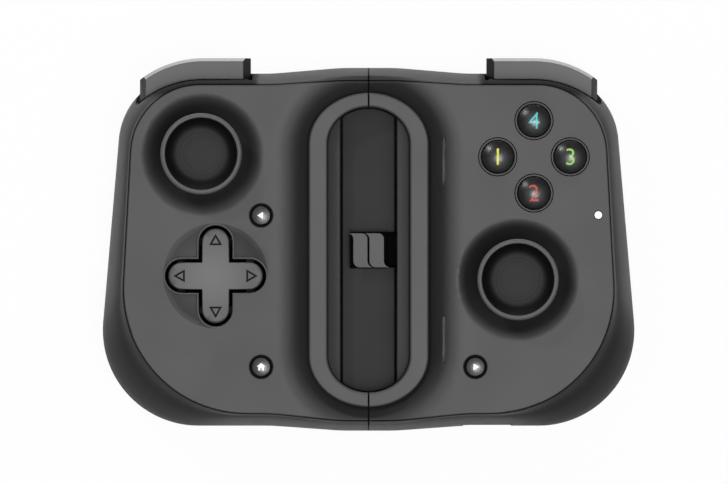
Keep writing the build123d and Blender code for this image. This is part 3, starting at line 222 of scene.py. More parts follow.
# painted shade: the lower corners of the grips and the strip under the shoulder keys are painted
# darker, the right grip darker than the left, and the grips are also rougher
gripShadeZone = {"out": (32 * mm, 50 * mm), "y": (-10 * mm, -28 * mm), "rough": 0.72}
stripShadeZone = {"out": (28 * mm, 30 * mm), "y": (37 * mm, 40 * mm), "tone": "080808", "rough": 0.9}
gripShadeTones = {"left": "222222", "right": "161616"}
gripShadeFinishes = {
    side: mouldedPlastic("back shell ABS lacquered grips " + side,
                         {**shellLook, "zones": [{**gripShadeZone, "tone": tone}, stripShadeZone]})
    for side, tone in gripShadeTones.items()}
rimFinish = mouldedPlastic("rim ABS satin", {
    **plasticLook, "base": "3e3e3e", "patch": "424242", "edge": "525252", "rough": 0.53,
    "recessReach": 3 * mm})
# painted shade: the dark edge colour lays a shade line along every edge of the shoulder keys
shoulderLook = {**plasticLook, "base": "525252", "patch": "565656", "edge": "0c0c0c", "rough": 0.5,
                "edgeWearAndLight": 1.0, "edgeWidth": 0.36 * mm}
triggerFinish = mouldedPlastic("trigger ABS satin", shoulderLook)
# painted light: the bumper's long bevel is painted with a highlight, the short ones at its ends
# with shade, and a painted shade line runs along every edge
bumperFinish = mouldedPlastic("bumper ABS satin", {
    **shoulderLook, "facets": {"paintedHighlight": "a0a0a0", "end": "040404"}})
crossFinish = mouldedPlastic("direction pad ABS satin", {
    **plasticLook, "base": "484848", "patch": "4c4c4c", "recess": "202020", "edge": "606060",
    "rough": 0.5, "recessReach": 2 * mm, "recessFull": 0.2,
    # lighter towards the pad's middle, darker towards the ends of its arms
    "lighterMiddle": {"place": padMiddle, "inner": 2 * mm, "outer": 12 * mm, "tone": "646464"},
    # painted shade: the foot that holds the pad in the faceplate is painted near black, for the gap
    # round the pad
    "depth": {"from": faceTop - 0.6 * mm, "to": faceTop - 1.2 * mm, "tone": "010101"}})
# a dark nylon, its base set darker still as painted shade for the pocket floor deep in its slot
bridgeFinish = mouldedPlastic("bridge nylon moulded", {
    **plasticLook, "base": "1e1e1e", "patch": "222222", "recess": "0c0c0c", "edge": "303030",
    "rough": 0.6, "shine": 0.3, "recessReach": 5 * mm})


# PMMA button caps, polished moulds: a deep black body under a hard gloss that fingers have dulled a
# little. Below the face, where the cap's flange lies, the mould wasn't polished, and the flange is
# painted near black as painted shade for the gap round the key.
def polishedCap(name, look):
    material, tree, shader, place = newMaterial(name)
    smear = addNode(tree, "TexNoise", {"Vector": place, "Scale": 1 / look["smear"], "Detail": 4.0})
    gloss = addNode(tree, "MapRange", {"Value": smear, "From Min": 0.35, "From Max": 0.75,
                                       "To Min": look["rough"], "To Max": look["smearRough"]})
    height = addNode(tree, "SeparateXYZ", {0: place}).outputs["Z"]
    shown = addNode(tree, "MapRange", {"Value": height, "From Min": look["flangeTop"],
                                       "From Max": look["flangeTop"] + look["fade"]})
    rough = addNode(tree, "Mix", {0: shown, 2: 1.0, 3: gloss})
    body = addNode(tree, "Mix", {0: smear, 6: look["base"], 7: look["patch"]}, data_type="RGBA")
    # painted shade: below the face the cap is painted near black
    colour = addNode(tree, "Mix", {0: shown, 6: look["flangeShade"], 7: body.outputs[2]},
                     data_type="RGBA")
    soft = addNode(tree, "Bevel", {"Radius": look["edgeWidth"]}, samples=4)
    setInputs(tree, shader, {"Base Color": colour.outputs[2], "Roughness": rough, "IOR": 1.55,
                             "Normal": soft})
    return material


capFinish = polishedCap("button cap PMMA polished", {
    "base": "141416", "patch": "1a1a1c", "rough": 0.26, "smearRough": 0.34, "smear": 1.5 * mm,
    "edgeWidth": 0.2 * mm, "flangeShade": "010101", "flangeTop": 30.6 * mm, "fade": 0.2 * mm})


# Silicone rubber: matt and slightly dusty, with a soft sheen at grazing angles, and painted shade
# in its recesses.
def softRubber(name, look):
    material, tree, shader, place = newMaterial(name)
    speck = addNode(tree, "TexNoise", {"Vector": place, "Scale": 1 / look["speck"], "Detail": 3.0})
    dust = addNode(tree, "TexNoise", {"Vector": place, "Scale": 1 / look["dust"], "Detail": 4.0})
    colour = addNode(tree, "Mix", {0: dust, 6: look["base"], 7: look["dusty"]}, data_type="RGBA")
    # painted shade in the recesses, found by ambient occlusion
    shade = addNode(tree, "AmbientOcclusion", {"Distance": look["recessReach"]}, samples=6)
    opened = addNode(tree, "MapRange", {"Value": shade.outputs["AO"],
                                        "From Min": look["recessFull"],
                                        "From Max": look["recessStart"]})
    finish = addNode(tree, "Mix", {0: opened, 6: look["recess"], 7: colour.outputs[2]},
                     data_type="RGBA").outputs[2]
    if "wallShade" in look:
        # painted shade: outside the floor of the dish the rubber is painted black
        wallShade = look["wallShade"]
        flat = addNode(tree, "VectorMath", {0: place, 1: (1, 1, 0)}, operation="MULTIPLY")
        away = addNode(tree, "VectorMath", {0: flat, 1: (*wallShade["place"], 0)}, operation="DISTANCE")
        wall = addNode(tree, "MapRange", {"Value": away.outputs["Value"], "From Min": wallShade["inner"],
                                          "From Max": wallShade["outer"]},
                       interpolation_type="SMOOTHSTEP")
        finish = addNode(tree, "Mix", {0: wall, 6: finish, 7: wallShade["tone"]},
                         data_type="RGBA").outputs[2]
    soft = addNode(tree, "Bevel", {"Radius": look["edgeWidth"]}, samples=4)
    bump = addNode(tree, "Bump", {"Height": speck, "Distance": look["speckDepth"], "Strength": 0.5,
                                  "Normal": soft})
    setInputs(tree, shader, {"Base Color": finish, "Roughness": look["rough"], "IOR": 1.43,
                             "Specular IOR Level": look["shine"], "Sheen Weight": look["sheen"],
                             "Sheen Roughness": 0.5, "Normal": bump})
    return material


rubberLook = {
    "base": "2a2a2a", "dusty": "2f2f2f", "recess": "0a0a0a", "rough": 0.62,
    "shine": 0.5, "sheen": 0.06, "recessFull": 0.25, "recessStart": 0.9,
    "speck": 0.25 * mm,  # the rubber's own texture is finer than a pixel, so this is coarser
    "speckDepth": 0.005 * mm, "dust": 3 * mm, "recessReach": 3 * mm, "edgeWidth": 0.15 * mm,
}
dishLook = {**rubberLook, "base": "262626", "dusty": "2a2a2a", "recess": "020202",
            "recessStart": 0.97, "recessFull": 0.5, "sheen": 0.0, "shine": 0.34}
dishWallShade = {"inner": 5.3 * mm, "outer": 7.4 * mm, "tone": "030303"}
dishRubbers = {}
for side in ("left", "right"):
    wallShade = {**dishWallShade, "place": middleOf(side + "_stick_cap")[:2]}
    dishRubbers[side] = softRubber("stick top silicone moulded " + side, {**dishLook, "wallShade": wallShade})
ringRubber = softRubber("stick rim silicone rubbed smooth", {
    **rubberLook, "base": "4c4c4c", "dusty": "505050", "recess": "202020", "rough": 0.5,
    "recessReach": 1 * mm})
domeRubber = softRubber("stick dome rubber matt", {
    **rubberLook, "base": "202020", "dusty": "252525", "recess": "080808", "recessReach": 6 * mm})
# the pads' base is set darker as painted shade for the deep pocket they sit in
padRubber = softRubber("end pad silicone moulded", {
    **rubberLook, "base": "303030", "dusty": "343434", "recess": "101010", "recessReach": 5 * mm})
matRubber = softRubber("key mat silicone black", {
    **rubberLook, "base": "1e1e1e", "dusty": "242424"})
shadeFoam = softRubber("shade foam black", {
    **rubberLook, "base": "050505", "dusty": "080808", "recess": "020202", "rough": 1.0,
    "shine": 0.05})
bootRubber = softRubber("plug boot TPE moulded", {
    **rubberLook, "base": "040404", "dusty": "060606", "recess": "020202", "rough": 0.8,
    "shine": 0.03, "sheen": 0.0})
leafRubber = softRubber("dust cap silicone moulded", {
    **rubberLook, "base": "585858", "dusty": "5e5e5e", "recess": "141414", "recessReach": 0.8 * mm,
    "recessFull": 0.1, "recessStart": 0.6})
latchNylon = softRubber("latch nylon matt", {
    **rubberLook, "base": "2a2a2a", "dusty": "2f2f2f", "recess": "0e0e0e"})


# Steel, turned and plated: fine marks round each piece, bright with grey streaks.
def platedSteel(name, look):
    material, tree, shader, place = newMaterial(name)
    marks = addNode(tree, "TexNoise", {"Vector": place, "Scale": 1 / look["marks"], "Detail": 5.0,
                                       "Distortion": 0.5})
    colour = addNode(tree, "Mix", {0: marks, 6: look["base"], 7: look["streak"]}, data_type="RGBA")
    rough = addNode(tree, "MapRange", {"Value": marks, "To Min": look["rough"],
                                       "To Max": look["rough"] + look["roughSpread"]})
    soft = addNode(tree, "Bevel", {"Radius": look["edgeWidth"]}, samples=4)
    setInputs(tree, shader, {"Base Color": colour.outputs[2], "Roughness": rough, "Metallic": 1.0,
                             "Normal": soft})
    return material


steelLook = {"roughSpread": 0.15, "edgeWidth": 0.1 * mm}
screwSteel = platedSteel("screw steel zinc plated", {
    **steelLook, "base": "8c8d90", "streak": "a8a9ab", "rough": 0.25, "marks": 0.6 * mm})
plugSteel = platedSteel("plug shell steel dark nickel plated", {
    **steelLook, "base": "38383a", "streak": "434345", "rough": 0.45, "marks": 0.8 * mm})

waveLength = 0.314  # a wave texture of scale 1 repeats over this

# Glass-fibre laminate under green solder mask: faint weave, copper tracks that show as ribs.
boardLook = {"mask": "06180f", "track": "0c2c1c", "pitch": 0.7536 * mm, "trackFrom": 0.55,
             "weave": 0.5 * mm}


def boardLaminate(name, look):
    material, tree, shader, place = newMaterial(name)
    tracks = addNode(tree, "TexWave", {"Vector": place, "Scale": waveLength / look["pitch"],
                                       "Distortion": 3.0, "Detail": 0.0}, wave_profile="SAW")
    edge = addNode(tree, "Math", {0: tracks.outputs["Fac"], 1: look["trackFrom"]},
                   operation="GREATER_THAN")
    colour = addNode(tree, "Mix", {0: edge, 6: look["mask"], 7: look["track"]}, data_type="RGBA")
    weave = addNode(tree, "TexNoise", {"Vector": place, "Scale": 1 / look["weave"]})
    rough = addNode(tree, "MapRange", {"Value": weave, "To Min": 0.25, "To Max": 0.4})
    bump = addNode(tree, "Bump", {"Height": edge, "Distance": 0.03 * mm, "Strength": 0.5})
    setInputs(tree, shader, {"Base Color": colour.outputs[2], "Roughness": rough, "IOR": 1.55,
                             "Normal": bump})
    return material


boardFinish = boardLaminate("board laminate solder masked", boardLook)

# Polyimide ribbon with printed conductors: dark film, fine raised lines along its length.
ribbonLook = {"film": "2b2b2c", "line": "3c3c3d", "pitch": 1.6 * mm}


def ribbonFilm(name, look):
    material, tree, shader, place = newMaterial(name)
    lines = addNode(tree, "TexWave", {"Vector": place, "Scale": waveLength / look["pitch"],
                                      "Distortion": 0.0}, bands_direction="Y")
    colour = addNode(tree, "Mix", {0: lines.outputs["Fac"], 6: look["film"], 7: look["line"]},
                     data_type="RGBA")
    bump = addNode(tree, "Bump", {"Height": lines.outputs["Fac"], "Distance": 0.03 * mm,
                                  "Strength": 0.6})
    rough = addNode(tree, "MapRange", {"Value": lines.outputs["Fac"], "To Min": 0.3,
                                       "To Max": 0.42})
    setInputs(tree, shader, {"Base Color": colour.outputs[2], "Roughness": rough, "IOR": 1.6,
                             "Normal": bump})
    return material


ribbonFinish = ribbonFilm("ribbon polyimide film", ribbonLook)

# Woven elastic: polyester yarns over rubber threads, ribbed along the stretch. The weave repeats
# over two ribs and two picks.
elasticLook = {"yarn": "262626", "gap": "0c0c0c", "ribs": 2.0 * mm, "picks": 1.2 * mm}


def wovenElastic(name, look):
    material, tree, shader, place = newMaterial(name, "UV")
    picks = addNode(tree, "TexWave", {"Vector": place, "Scale": waveLength / look["picks"],
                                      "Distortion": 0.0}, bands_direction="X")
    ribs = addNode(tree, "TexWave", {"Vector": place, "Scale": waveLength / look["ribs"],
                                     "Distortion": 0.0}, bands_direction="Y")
    both = addNode(tree, "Math", {0: picks.outputs["Fac"], 1: ribs.outputs["Fac"]},
                   operation="MULTIPLY")
    colour = addNode(tree, "Mix", {0: both, 6: look["gap"], 7: look["yarn"]}, data_type="RGBA")
    bump = addNode(tree, "Bump", {"Height": both, "Distance": 0.15 * mm, "Strength": 0.7})
    setInputs(tree, shader, {"Base Color": colour.outputs[2], "Roughness": 0.85,
                             "Sheen Weight": 0.3, "Sheen Roughness": 0.4, "Normal": bump})
    return material


elasticFinish = wovenElastic("strap elastic woven", elasticLook)


# Screen-printed ink and the milky light pipe: flat colour with a little mottling, and a weak glow.
# The light pipe has its lamp behind it; no lamp stands behind the keys, so their ink's glow is
# painted light.
def litInk(name, look):
    material, tree, shader, place = newMaterial(name)
    mottle = addNode(tree, "TexNoise", {"Vector": place, "Scale": 1 / look["mottle"]})
    finish = addNode(tree, "Mix", {0: mottle, 6: look["ink"], 7: look["thin"]},
                     data_type="RGBA").outputs[2]
    if "core" in look:
        # painted shade: the milky core ends in a dark rim
        core = look["core"]
        away = addNode(tree, "VectorMath", {0: place, 1: core["place"]}, operation="DISTANCE")
        edge = addNode(tree, "MapRange", {"Value": away.outputs["Value"],
                                          "From Min": core["radius"],
                                          "From Max": core["radius"] + core["fade"]})
        finish = addNode(tree, "Mix", {0: edge, 6: finish, 7: core["rim"]},
                         data_type="RGBA").outputs[2]
    setInputs(tree, shader, {"Base Color": finish, "Roughness": 0.35, "Emission Color": finish,
                             "Emission Strength": look["glow"]})
    return material


# the glow of the key inks is painted light
inkLooks = {
    "yellow": {"ink": "e6e65a", "thin": "cfcf3c", "glow": 0.12},
    "red": {"ink": "c04a4a", "thin": "a83c3c", "glow": 0.12},
    "green": {"ink": "9ad05a", "thin": "82bb42", "glow": 0.1},
    "cyan": {"ink": "5cc4c8", "thin": "44adb2", "glow": 0.12},
    "white": {"ink": "f2f2f2", "thin": "dcdcdc", "glow": 0.4},
}
inks = {colour: litInk(colour + " ink screen printed", {**look, "mottle": 0.5 * mm})
        for colour, look in inkLooks.items()}
pipeFinish = litInk("light pipe polycarbonate milky", {
    "ink": "ffffff", "thin": "f4f4f4", "glow": 0.5, "mottle": 0.8 * mm,
    "core": {"place": (*middleOf("status_light")[:2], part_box("status_light")[1].z),
             "radius": 0.85 * mm, "fade": 0.1 * mm, "rim": "101010"}})
grooveFill = softRubber("engraved line wax filled", {
    **rubberLook, "base": "222222", "dusty": "282828", "recess": "181818", "rough": 1.0,
    "shine": 0.2})
print("materials made")


# CAD pieces keep their shape: they get a finish, and smooth shading across their curved faces.
finishGroups = [
    (faceFinishes["left"], "left_faceplate"), (faceFinishes["right"], "right_faceplate"),
    (gripShadeFinishes["left"], "left_back_shell"), (gripShadeFinishes["right"], "right_back_shell"),
    (shellFinish, "bridge_cover"), (rimFinish, "bezel"), (bumperFinish, "bumper"),
    (triggerFinish, "trigger"), (crossFinish, "dpad"), (pipeFinish, "status_light"),
    (bridgeFinish, "bridge_frame dpad_pivot dpad_post stick_yoke stick_rocker"),
    (capFinish, "back_button home_button menu_button north_button east_button south_button"
                " west_button"),
    (padRubber, "end_pad"), (matRubber, "key_mat"), (latchNylon, "latch"),
    (ringRubber, "stick_cap"), (bootRubber, "stick_switch plug_boot"), (plugSteel, "plug_shell"),
    (screwSteel, "shell_screws bridge_screws strap_anchor pivot_pins stick_housing stick_shaft"
                 " charge_port"),
    (boardFinish, "board"), (elasticFinish, "strap"), (ribbonFinish, "flex_cable")]
finishes = {name: finish for finish, names in finishGroups for name in names.split()}
smoothing = {"weld": 0.0005 * mm, "angle": 32, "soft": 50}


def splitEdges(piece, degrees):
    # edges sharper than this stay crisp
    split = piece.modifiers.new("split", "EDGE_SPLIT")
    split.split_angle = math.radians(degrees)


def smoothEdges(piece):
    weld = piece.modifiers.new("weld", "WELD")
    weld.merge_threshold = smoothing["weld"]
    splitEdges(piece, smoothing["angle"])
    piece.data.polygons.foreach_set("use_smooth", [True] * len(piece.data.polygons))
    even = piece.modifiers.new("even", "WEIGHTED_NORMAL")
    even.mode, even.weight = "FACE_AREA", 100


for name, node in nodes.items():
    kind = name.removeprefix("left_").removeprefix("right_")
    node.data.materials.clear()
    node.data.materials.append(finishes[name] if name in finishes else finishes[kind])
    smoothEdges(node)
print("CAD pieces dressed")


def addPiece(name, bm, materials, body):
    mesh = bpy.data.meshes.new(name)
    bm.to_mesh(mesh)
    bm.free()
    piece = bpy.data.objects.new(name, mesh)
    bpy.context.scene.collection.objects.link(piece)
    for material in materials:
        mesh.materials.append(material)
    if body:
        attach(piece, body)
    return piece


straightDown = Vector((0, 0, -1))


def extruded(bm):
    # doubles the whole sheet, joins both and returns the vertices of the second one
    grown = bmesh.ops.extrude_face_region(bm, geom=list(bm.faces), use_keep_orig=True)
    return [g for g in grown["geom"] if isinstance(g, bmesh.types.BMVert)]


def turned(section, steps, closed):
    # a section of distances and heights, spun once round
    bm = bmesh.new()
    verts = [bm.verts.new((out, 0, height)) for out, height in section]
    ends = verts[1:] + verts[:1] if closed else verts[1:]
    edges = [bm.edges.new(pair) for pair in zip(verts, ends)]
    bmesh.ops.spin(bm, geom=verts + edges, cent=(0, 0, 0), axis=(0, 0, 1), angle=2 * math.pi,
                   steps=steps, use_merge=True)
    bmesh.ops.remove_doubles(bm, verts=bm.verts, dist=smoothing["weld"])
    bmesh.ops.recalc_face_normals(bm, faces=bm.faces)
    return bm


def addShape(target, shape):
    mesh = bpy.data.meshes.new("shape")
    shape.to_mesh(mesh)
    shape.free()
    target.from_mesh(mesh)
    bpy.data.meshes.remove(mesh)


# Painted shade: dark foam laid on the left half's seam faces fills the gap between the halves with
# black.
seamShadeShape = {"thick": 0.398 * mm, "reach": 0.02 * mm}


def makeSeamShade():
    walls = ("left_faceplate", "left_bezel", "left_back_shell")
    seam = max(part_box(name)[1].x for name in walls)
    bm = bmesh.new()
    for name in walls:
        bm.from_mesh(nodes[name].data)
    off = [f for f in bm.faces if any(abs(v.co.x - seam) > seamShadeShape["reach"] for v in f.verts)]
    bmesh.ops.delete(bm, geom=off, context="FACES")
    bmesh.ops.remove_doubles(bm, verts=bm.verts, dist=smoothing["weld"])
    bmesh.ops.translate(bm, verts=extruded(bm), vec=(seamShadeShape["thick"], 0, 0))
    bmesh.ops.recalc_face_normals(bm, faces=bm.faces)
    addPiece("seam_shade_sheet", bm, [shadeFoam], "left_half")


makeSeamShade()
print("seam shade sheet laid")

# Thumb sticks: concave top with fine rings, a smooth rim, a neck and the dome that fills the bowl.
# Radius and height pairs in millimetres, the height measured down from the rim's top.
stickShape = {
    "steps": 128,
    "dish": [(0, 2.75), (2.9, 2.76), (4.9, 2.75), (5.0, 2.79), (5.1, 2.75), (5.5, 2.77),
             (5.6, 2.83), (5.75, 2.83), (5.85, 2.8)],
    "bowl": {"from": 6.1, "to": 9.35, "low": 2.8, "high": 0.16, "ease": 1.6, "bend": 2.4,
             "points": 16},
    "rim": [(9.42, 0.1), (9.52, 0.04), (9.66, 0.01), (9.85, 0.0), (10.08, 0.02), (10.26, 0.09),
            (10.4, 0.21), (10.48, 0.38), (10.5, 0.6)],
    "skirt": [(10.5, 3.4), (10.42, 3.75), (10.15, 4.1), (9.8, 4.35), (9.3, 4.55), (5.4, 4.95),
              (4.9, 5.05), (4.4, 5.3), (4.1, 5.7), (4.0, 6.1), (4.0, 10.4), (4.02, 10.73)],
    "dome": {"radius": 10.0, "thick": 1.0, "pivot": 19.9, "from": 23.7, "to": 80.0, "points": 14},
    "bore": 1.35, "boreTop": 7.25,
    # the rim's rubber starts this far out and ends this far down, the dome's starts at the neck
    "rimFrom": 9.36, "rimEnd": 3.6, "neck": 5.2,
}


def makeStick(side):
    cap = side + "_stick_cap"
    centre, top = middleOf(cap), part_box(cap)[1].z
    bowl, dome = stickShape["bowl"], stickShape["dome"]
    line = list(stickShape["dish"])
    for i in range(bowl["points"] + 1):
        share = i / bowl["points"]
        out = bowl["from"] + (bowl["to"] - bowl["from"]) * (1 - (1 - share) ** bowl["ease"])
        rise = ((out - bowl["from"]) / (bowl["to"] - bowl["from"])) ** bowl["bend"]
        line.append((out, bowl["low"] + (bowl["high"] - bowl["low"]) * rise))
    line += stickShape["rim"] + stickShape["skirt"]
    inward, outward = range(1, dome["points"] + 1), range(dome["points"], -1, -1)
    for thick, turns in ((0, inward), (dome["thick"], outward)):
        reach = dome["radius"] - thick
        first = dome["from"] if thick == 0 else math.degrees(math.asin(stickShape["bore"] / reach))
        for i in turns:
            angle = math.radians(first + (dome["to"] - first) * i / dome["points"])
            line.append((reach * math.sin(angle), dome["pivot"] - reach * math.cos(angle)))
    line += [(stickShape["bore"], stickShape["boreTop"]), (0, stickShape["boreTop"])]
    bm = turned([(out * mm, top - down * mm) for out, down in line], stickShape["steps"], False)
    for face in bm.faces:
        place = face.calc_center_median()
        out, down = math.hypot(place.x, place.y) / mm, (top - place.z) / mm
        face.smooth = True
        onRim = out > stickShape["rimFrom"] and down < stickShape["rimEnd"]
        face.material_index = 1 if onRim else 2 if down > stickShape["neck"] else 0
    bmesh.ops.translate(bm, verts=bm.verts, vec=(centre.x, centre.y, 0))
    piece = addPiece(side + "_stick_top", bm, [dishRubbers[side], ringRubber, domeRubber],
                     side + "_stick")
    splitEdges(piece, smoothing["soft"])
    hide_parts(cap)


for side in ("left", "right"):
    makeStick(side)
print("sticks turned")


# The direction pad is the CAD piece with a triangle outline engraved near the end of each arm.
arrowCut = {"near": 8.0 * mm, "far": 10.9 * mm, "width": 3.3 * mm, "line": 0.42 * mm,
            "depth": 0.25 * mm, "above": 10 * mm, "rise": 2 * mm}


def engravedCross():
    centre = middleOf("dpad")
    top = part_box("dpad")[1].z
    body = bmesh.new()
    body.from_mesh(nodes["dpad"].data)
    bmesh.ops.remove_doubles(body, verts=body.verts, dist=smoothing["weld"])
    piece = addPiece("direction_pad", body, [crossFinish, grooveFill], "dpad")
    tree = BVHTree.FromPolygons([v.co for v in piece.data.vertices],
                                [tuple(p.vertices) for p in piece.data.polygons])
    cutter = bmesh.new()
    for turn in range(4):
        angle = math.radians(90 * turn)
        out = Vector((math.cos(angle), math.sin(angle)))
        across = Vector((-math.sin(angle), math.cos(angle))) * arrowCut["width"] / 2
        mark = bmesh.new()
        corners = [out * arrowCut["near"] - across, out * arrowCut["near"] + across,
                   out * arrowCut["far"]]
        face = mark.faces.new([mark.verts.new((c.x, c.y, 0)) for c in corners])
        bmesh.ops.recalc_face_normals(mark, faces=[face])
        bmesh.ops.inset_region(mark, faces=[face], thickness=arrowCut["line"], use_even_offset=True,
                               use_boundary=True)
        bmesh.ops.delete(mark, geom=[face], context="FACES_ONLY")
        for vert in mark.verts:
            x, y = centre.x + vert.co.x, centre.y + vert.co.y
            hit = tree.ray_cast(Vector((x, y, top + arrowCut["above"])), straightDown)[0]
            vert.co = Vector((x, y, hit.z - arrowCut["depth"]))
        bmesh.ops.translate(mark, verts=extruded(mark), vec=(0, 0, arrowCut["rise"]))
        bmesh.ops.recalc_face_normals(mark, faces=mark.faces)
        addShape(cutter, mark)
    for face in cutter.faces:
        face.material_index = 1
    tool = addPiece("arrow_cutter", cutter, [crossFinish, grooveFill], None)
    cut = piece.modifiers.new("engrave", "BOOLEAN")
    cut.operation, cut.solver, cut.object = "DIFFERENCE", "EXACT", tool
    ready = piece.evaluated_get(bpy.context.evaluated_depsgraph_get())
    carved = bpy.data.meshes.new_from_object(ready)
    piece.modifiers.remove(cut)
    bpy.data.objects.remove(tool)
    piece.data = carved
    carved.polygons.foreach_set("use_smooth", [True] * len(carved.polygons))
    splitEdges(piece, smoothing["angle"])
    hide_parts("dpad")


engravedCross()
print("direction pad engraved")


# Painted shade: rings of black foam round the pad, one on the board under the ends of its arms and
# one that lies on its foot, make the gap round the pad black. A bead of the same foam is let into
# the face round each of the four round keys as painted shade for the gap round them.
shadeRingShapes = {
    "pad_shade_ring": {"inner": 10.7 * mm, "outer": 13.5 * mm, "low": 21.2 * mm, "high": 22.6 * mm,
                   "round": "dpad", "body": "left_half"},
    "pad_shade_skirt": {"inner": 3.0 * mm, "outer": 8.95 * mm, "low": 28.02 * mm, "high": 28.25 * mm,
                  "round": "dpad", "body": "dpad"}}
for key in ("west", "south", "east", "north"):
    shadeRingShapes[key + "_shade_bead"] = {
        "inner": 4.84 * mm, "outer": 5.08 * mm, "low": faceTop - 0.1 * mm,
        "high": faceTop + 0.04 * mm, "round": key + "_button", "body": "right_half"}
ringSteps = 72


def makeShadeRing(name, shape):
    centre = middleOf(shape["round"])
    section = [(shape["inner"], shape["low"]), (shape["outer"], shape["low"]),
               (shape["outer"], shape["high"]), (shape["inner"], shape["high"])]
    bm = turned(section, ringSteps, True)
    bmesh.ops.translate(bm, verts=bm.verts, vec=(centre.x, centre.y, 0))
    addPiece(name, bm, [shadeFoam], shape["body"])


for name, shape in shadeRingShapes.items():
    makeShadeRing(name, shape)
print("shade rings laid")


# Marks on the keys: thin ink laid over the domes. Numbers stand on the four round keys.
inkLayer = {"lift": 0.02 * mm, "thick": 0.03 * mm, "grid": 0.35 * mm, "weld": 0.002 * mm,
            "above": 1.0}
numberShape = {"height": 4.3 * mm, "steps": 6, "thinner": -0.004}
keyNumbers = {"west_button": ("1", "yellow"), "south_button": ("2", "red"),
              "east_button": ("3", "green"), "north_button": ("4", "cyan")}


def layOnKey(bm, key, name, ink):
    # cuts the flat mark finely, drops it on the key's dome and gives it the ink's thickness
    centre = middleOf(key)
    bmesh.ops.translate(bm, verts=bm.verts, vec=(centre.x, centre.y, 0))
    for axis in (0, 1):
        low = min(v.co[axis] for v in bm.verts)
        high = max(v.co[axis] for v in bm.verts)
        normal = Vector((1, 0, 0)) if axis == 0 else Vector((0, 1, 0))
        at = low + inkLayer["grid"]
        while at < high:
            bmesh.ops.bisect_plane(bm, geom=list(bm.verts) + list(bm.edges) + list(bm.faces),
                                   plane_co=normal * at, plane_no=normal)
            at += inkLayer["grid"]
    bmesh.ops.triangulate(bm, faces=bm.faces)
    bmesh.ops.remove_doubles(bm, verts=bm.verts, dist=inkLayer["weld"])
    dome = bmesh.new()
    dome.from_mesh(nodes[key].data)
    tree = BVHTree.FromBMesh(dome)
    dome.free()
    for vert in bm.verts:
        start = Vector((vert.co.x, vert.co.y, inkLayer["above"]))
        hit = tree.ray_cast(start, straightDown)[0]
        vert.co.z = hit.z + inkLayer["lift"]
    for face in bm.faces:
        if face.normal.z < 0:
            face.normal_flip()
    bmesh.ops.translate(bm, verts=extruded(bm), vec=(0, 0, -inkLayer["thick"]))
    bmesh.ops.recalc_face_normals(bm, faces=bm.faces)
    addPiece(name, bm, [inks[ink]], key)


def printedNumber(digit):
    curve = bpy.data.curves.new("number", "FONT")
    curve.body, curve.size, curve.align_x = digit, 1.0, "CENTER"
    curve.resolution_u, curve.offset = numberShape["steps"], numberShape["thinner"]
    text = bpy.data.objects.new("number", curve)
    bpy.context.scene.collection.objects.link(text)
    ready = text.evaluated_get(bpy.context.evaluated_depsgraph_get())
    flat = bpy.data.meshes.new_from_object(ready)
    bpy.data.objects.remove(text)
    bm = bmesh.new()
    bm.from_mesh(flat)
    bpy.data.meshes.remove(flat)
    lows = [min(v.co[i] for v in bm.verts) for i in (0, 1)]
    highs = [max(v.co[i] for v in bm.verts) for i in (0, 1)]
    bmesh.ops.translate(bm, verts=bm.verts,
                        vec=(-(lows[0] + highs[0]) / 2, -(lows[1] + highs[1]) / 2, 0))
    size = numberShape["height"] / (highs[1] - lows[1])
    bmesh.ops.scale(bm, verts=bm.verts, vec=(size, size, size))
    return bm


for key, (digit, ink) in keyNumbers.items():
    layOnKey(printedNumber(digit), key, key + "_number", ink)

arrowMark = {"radius": 1.0 * mm}
houseMark = {"wall": 0.7 * mm, "eaves": 1.1 * mm, "low": -0.9 * mm, "eave": 0.1 * mm,
             "ridge": 1.0 * mm, "door": 0.24 * mm, "lintel": -0.3 * mm}


def arrowhead(turn):
    bm = bmesh.new()
    bmesh.ops.create_circle(bm, cap_ends=True, segments=3, radius=arrowMark["radius"])
    first = max(bm.verts, key=lambda v: v.co.y).co.copy()
    start = math.atan2(first.y, first.x)
    for vert in bm.verts:
        angle = math.atan2(vert.co.y, vert.co.x) - start + turn
        vert.co.x = arrowMark["radius"] * math.cos(angle)
        vert.co.y = arrowMark["radius"] * math.sin(angle)
    return bm


def house():
    h = houseMark
    outline = [(-h["wall"], h["low"]), (-h["door"], h["low"]), (-h["door"], h["lintel"]),
               (h["door"], h["lintel"]), (h["door"], h["low"]), (h["wall"], h["low"]),
               (h["wall"], h["eave"]), (h["eaves"], h["eave"]), (0, h["ridge"]),
               (-h["eaves"], h["eave"]), (-h["wall"], h["eave"])]
    bm = bmesh.new()
    bm.faces.new([bm.verts.new((x, y, 0)) for x, y in outline])
    return bm


layOnKey(arrowhead(math.pi), "back_button", "back_mark", "white")
layOnKey(arrowhead(0), "menu_button", "menu_mark", "white")
layOnKey(house(), "home_button", "home_mark", "white")
print("marks printed")


# End pads that the phone's ends press on: soft rubber, so the edges round the top are rounded.
padShape = {"round": 0.2 * mm, "segments": 3, "corner": math.radians(50),
            "flat": math.radians(0.5)}


def makePad(side):
    name = side + "_end_pad"
    bm = bmesh.new()
    bm.from_mesh(nodes[name].data)
    bmesh.ops.remove_doubles(bm, verts=bm.verts, dist=smoothing["weld"])
    bmesh.ops.dissolve_limit(bm, angle_limit=padShape["flat"], verts=bm.verts, edges=bm.edges)
    high = max(v.co.z for v in bm.verts)
    upper = [e for e in bm.edges if e.is_manifold and e.calc_face_angle() > padShape["corner"]
             and all(v.co.z > high - smoothing["weld"] for v in e.verts)]
    bmesh.ops.bevel(bm, geom=upper, offset=padShape["round"], segments=padShape["segments"],
                    profile=0.5, affect="EDGES", material=-1)
    for face in bm.faces:
        face.smooth = True
    piece = addPiece(side + "_rubber_pad", bm, [padRubber], side + "_half")
    splitEdges(piece, smoothing["angle"])
    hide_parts(name)


for side in ("left", "right"):
    makePad(side)
print("end pads rounded")


# Ribbon cable, folded like a fan in the window of the pocket floor.
ribbonShape = {"folds": 8, "steps": 12, "thick": 0.3 * mm, "sharp": 1.6}


